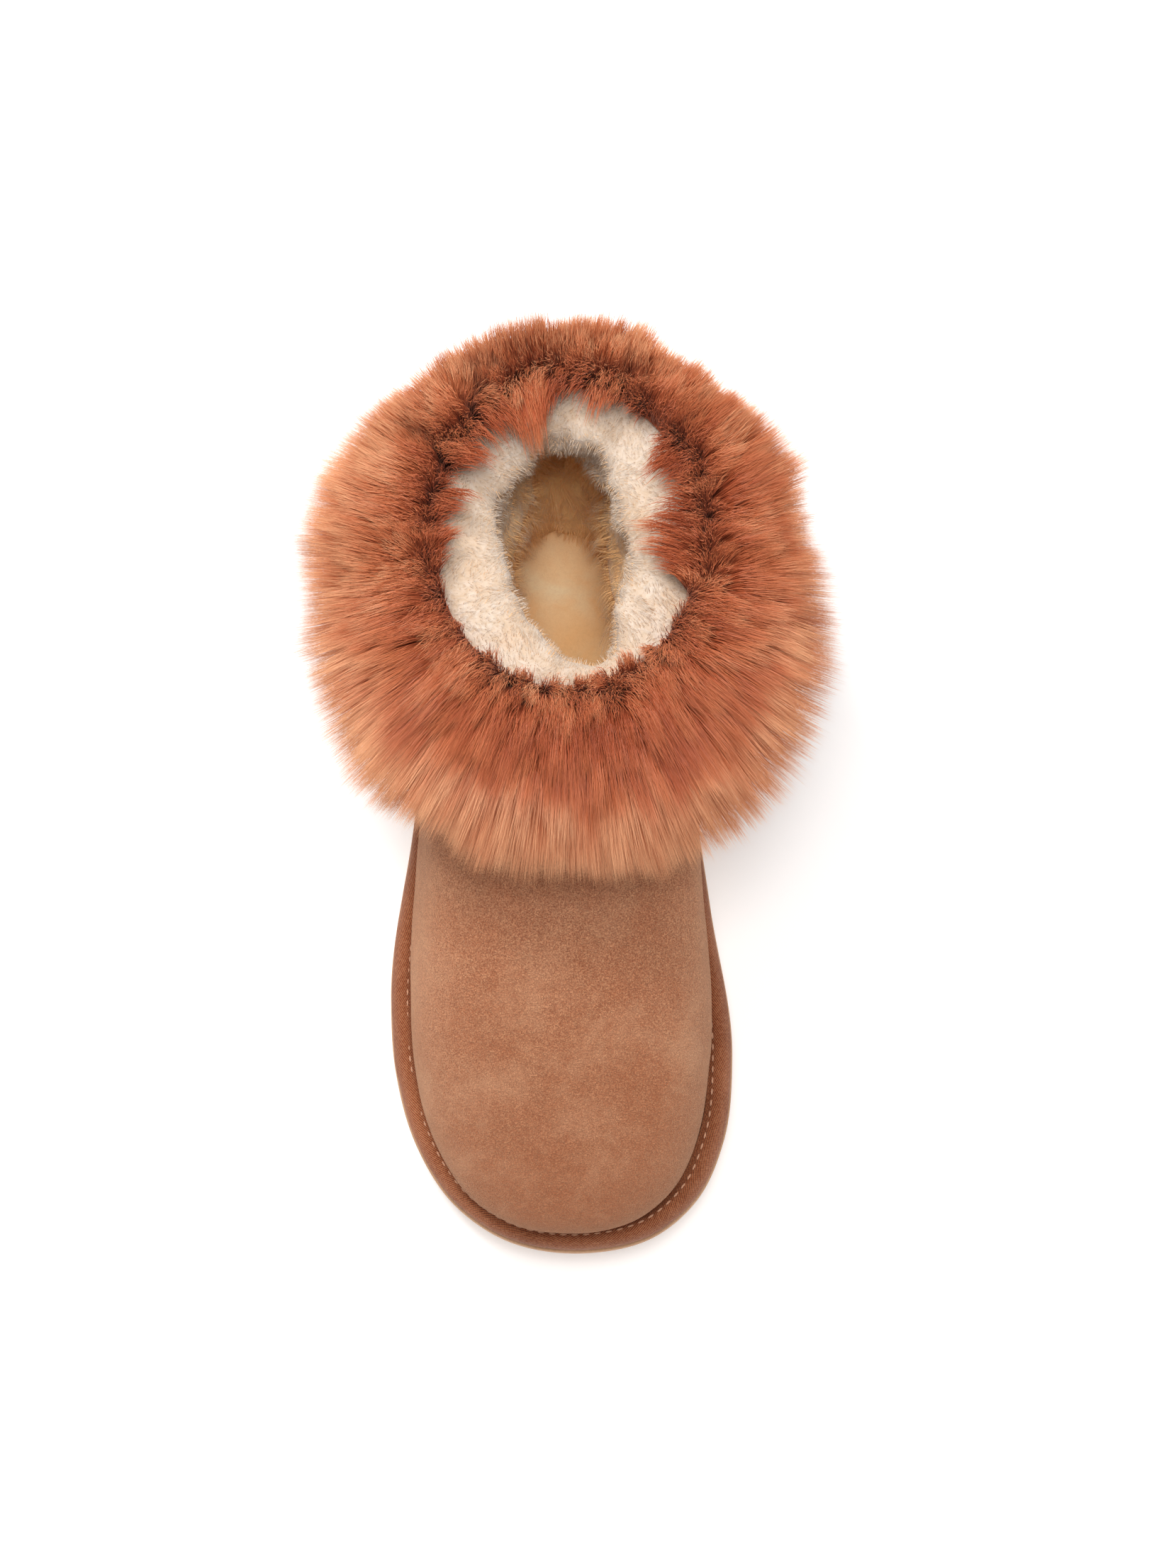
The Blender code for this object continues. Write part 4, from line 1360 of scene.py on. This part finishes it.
def bent(nodes, hairs, width):
    """The blades, each laid along a curve from its root, by way of its bow, to its reach."""
    along = named_number(nodes, "along")
    bow = named_arrow(nodes, "hair_bow") * (along * (1.0 - along) * 2.0)
    reach = named_arrow(nodes, "hair_reach") * (along * along)
    breadth = named_arrow(nodes, "hair_side") * (named_number(nodes, "hair_across") * width)
    place = named_arrow(nodes, "hair_root") + (bow + reach) + breadth
    return nodes.add("GeometryNodeSetPosition", {}, {"Geometry": hairs, "Position": place})


# %% The hair tree
HAIR_SIZES = {
    "Hairs per square metre": 5.0e6,
    "Joints": 4,
    "Width": 0.25 * MM,
    "Swirl": 8.0 * MM,
    "Swirl size": 15 * MM,
    "Tuft spacing": 8 * MM,
    "Tuft pull": 0.18,
    "Tuft scatter": 4.0 * MM,
    "Lock spacing": 2.4 * MM,
    "Lock pull": 0.38,
    "Lock scatter": 2.4 * MM,
    "Curl": 0.7 * MM,
    "Stray": 1.6 * MM,
    "Uneven": 0.22,
    "Seed": 1,
    "Hair": None,
}


def make_hair_tree():
    tree, nodes, wires = geometry_tree("hair_in_locks", HAIR_SIZES)
    seed = wires["Seed"]
    density = wires["Hairs per square metre"] * named_number(nodes, "fullness")
    hairs = scattered(nodes, wires, "RANDOM", {"Density": density})
    square = nodes.also(hairs, "Normal")
    root = nodes.add("GeometryNodeInputPosition")
    reach, bow = named_arrow(nodes, "reach"), named_arrow(nodes, "bow")

    fineness = nodes.maths("DIVIDE", 1.0, wires["Swirl size"])
    swirl = drifting_arrow(nodes, root, fineness, 2.0, wires["Swirl"])
    curl = drifting_arrow(nodes, root, fineness * 2.6, 1.0, wires["Curl"])
    uneven = wires["Uneven"] * named_number(nodes, "uneven")
    length = 1.0 + drawn_number(nodes, seed + 5, -1.0, 0.3) * uneven
    tip = root + reach * length + swirl
    tip, _ = pulled(nodes, wires, "Tuft", 2.0e4, 11, root, tip)
    tip, lock = pulled(nodes, wires, "Lock", 4.0e5, 23, root, tip)
    tip = tip + drawn_arrow(nodes, seed + 41, wires["Stray"])
    new_reach = tip - root
    new_bow = bow * length + (new_reach - reach * length) * 0.35 + curl
    new_bow = new_bow + drawn_arrow(nodes, seed + 47, wires["Stray"])

    cross = vector_maths(nodes, "CROSS_PRODUCT", new_reach, square)
    twist = square * drawn_number(nodes, seed + 53, -0.8, 0.8)
    side = vector_maths(nodes, "NORMALIZE", vector_maths(nodes, "NORMALIZE", cross) + twist)
    own = drawn_number(nodes, seed + 61, 0.0, 0.6, lock) + drawn_number(nodes, seed + 67, 0.0, 0.4)
    points = stored(nodes, hairs, "hair_root", root)
    points = stored(nodes, points, "hair_reach", new_reach)
    points = stored(nodes, points, "hair_bow", new_bow)
    points = stored(nodes, points, "hair_side", side)
    points = stored(nodes, points, "shade", own, "FLOAT")

    blade = hair_blade(nodes, wires["Joints"])
    placed = nodes.add("GeometryNodeInstanceOnPoints", {}, {"Points": points, "Instance": blade})
    real = nodes.add("GeometryNodeRealizeInstances", {}, {"Geometry": placed})
    close_tree(nodes, bent(nodes, real, wires["Width"]), wires["Hair"])
    return tree


hair_tree = make_hair_tree()


# %% [markdown]
# Between the hairs the skin shows, dyed like them. It is a closed band on the guide's own surface, so that
# no gap in the fur looks through to the suede.

# %% The skin under the fur
def make_fur_skin():
    count, rows = 160, 50
    turn = np.arange(count)[None, :] / count + np.zeros((rows, 1))
    share = np.linspace(0, 1, rows)[:, None] + np.zeros((1, count))
    hem = upper(turn[0], mix(HEM_BACK, HEM_FRONT, near_toe(turn[0])))
    rim = upper(turn[0], np.full(count, float(COLLAR)))
    rings = np.concatenate([cuff_skin(turn, share), rim[None], hem[None]])
    piece = grid_piece("fur_skin", rings, under_fur, closed_rows=True)
    return finished(piece, "fur", "fur_cuff")


make_fur_skin()

# %% [markdown]
# The hair is grown in four quarters of the cuff, so that no mesh gets too heavy. The back needs fewer hairs,
# because its skin is smaller and its hair shorter.

# %% The hair
ZONES = {"back": 26000, "inner": 35500, "front": 37500, "outer": 35000}  # hairs in each
HALF_ZONE = 0.5 / len(ZONES)
for k, (zone, hairs) in enumerate(ZONES.items()):
    middle = k / len(ZONES)
    carrier, area = fur_guide(middle - HALF_ZONE, middle + HALF_ZONE)
    values = {"Hairs per square metre": hairs / area, "Seed": 3 + k, "Hair": fur_hair}
    grow(carrier, hair_tree, values, f"fur_{zone}", "fur", "fur_cuff")

# %% [markdown]
# The wool's pile is short and curly. Each hair starts inside the lining, stands off it and is turned aside
# by soft noise. The lining's toe end is deep in the dark of the foot, so few hairs grow there.


# %% The wool's pile
WOOL_HAIRS = 27000
HIDDEN_RINGS = 4  # the roll's last rings lie under the fur
PILE_TOP, PILE_HEEL = 2.8, 5.2  # its length at the collar and in the heel, in mm
PILE_FRONT_Y = -120 * MM
PILE_FADE = 45 * MM


def wool_guide():
    """The lining from the sole to the roll, with its arrows."""
    rings, down = (grid[:-HIDDEN_RINGS] for grid in lining_surface(200, 70))
    rings = np.concatenate([rings, rings[:, :1]], axis=1)
    down = np.concatenate([down, down[:, :1]], axis=1)
    square = -out_of(rings)
    length = mix(PILE_TOP, PILE_HEEL, down)[..., None] * MM
    climb = np.gradient(rings, axis=0)
    climb /= np.linalg.norm(climb, axis=-1, keepdims=True) + 1e-12
    lumps = [waves(rings, 7 * MM, seed) for seed in (19.0, 23.0, 29.0)]
    tangle = np.stack(lumps, axis=-1) * mix(1.0, 2.2, down)[..., None]
    reach = (square * 0.6 - climb * 0.7 + tangle) * length
    skin = rings - square * 0.5 * MM
    seen = smooth_step((rings[..., 1] - PILE_FRONT_Y) / PILE_FADE)
    fullness = 0.04 + seen * (0.96 - 0.3 * down)
    # The pile's tone is painted warm bounce light deep in the lining, partly the heel's browner wool
    numbers = {"fullness": fullness, "tone": 0.6 * down, "uneven": np.ones_like(down)}
    return guide(skin, {"reach": reach, "bow": square * length * 0.8}, numbers)


carrier, area = wool_guide()
WOOL_SIZES = {
    "Hairs per square metre": WOOL_HAIRS / area,
    "Width": 0.14 * MM,
    "Swirl": 1.0 * MM,
    "Swirl size": 7 * MM,
    "Curl": 0.8 * MM,
    "Tuft spacing": 5.0 * MM,
    "Tuft pull": 0.2,
    "Tuft scatter": 1.5 * MM,
    "Lock spacing": 1.2 * MM,
    "Lock pull": 0.3,
    "Lock scatter": 0.8 * MM,
    "Stray": 0.5 * MM,
    "Uneven": 0.3,
    "Seed": 21,
    "Hair": wool_hair,
}
grow(carrier, hair_tree, WOOL_SIZES, "fleece_pile", "footbed_fleece", "upper")

# %% [markdown]
# ## The end
#
# The view layer is brought up to date.

# %% The end
bpy.context.view_layer.update()
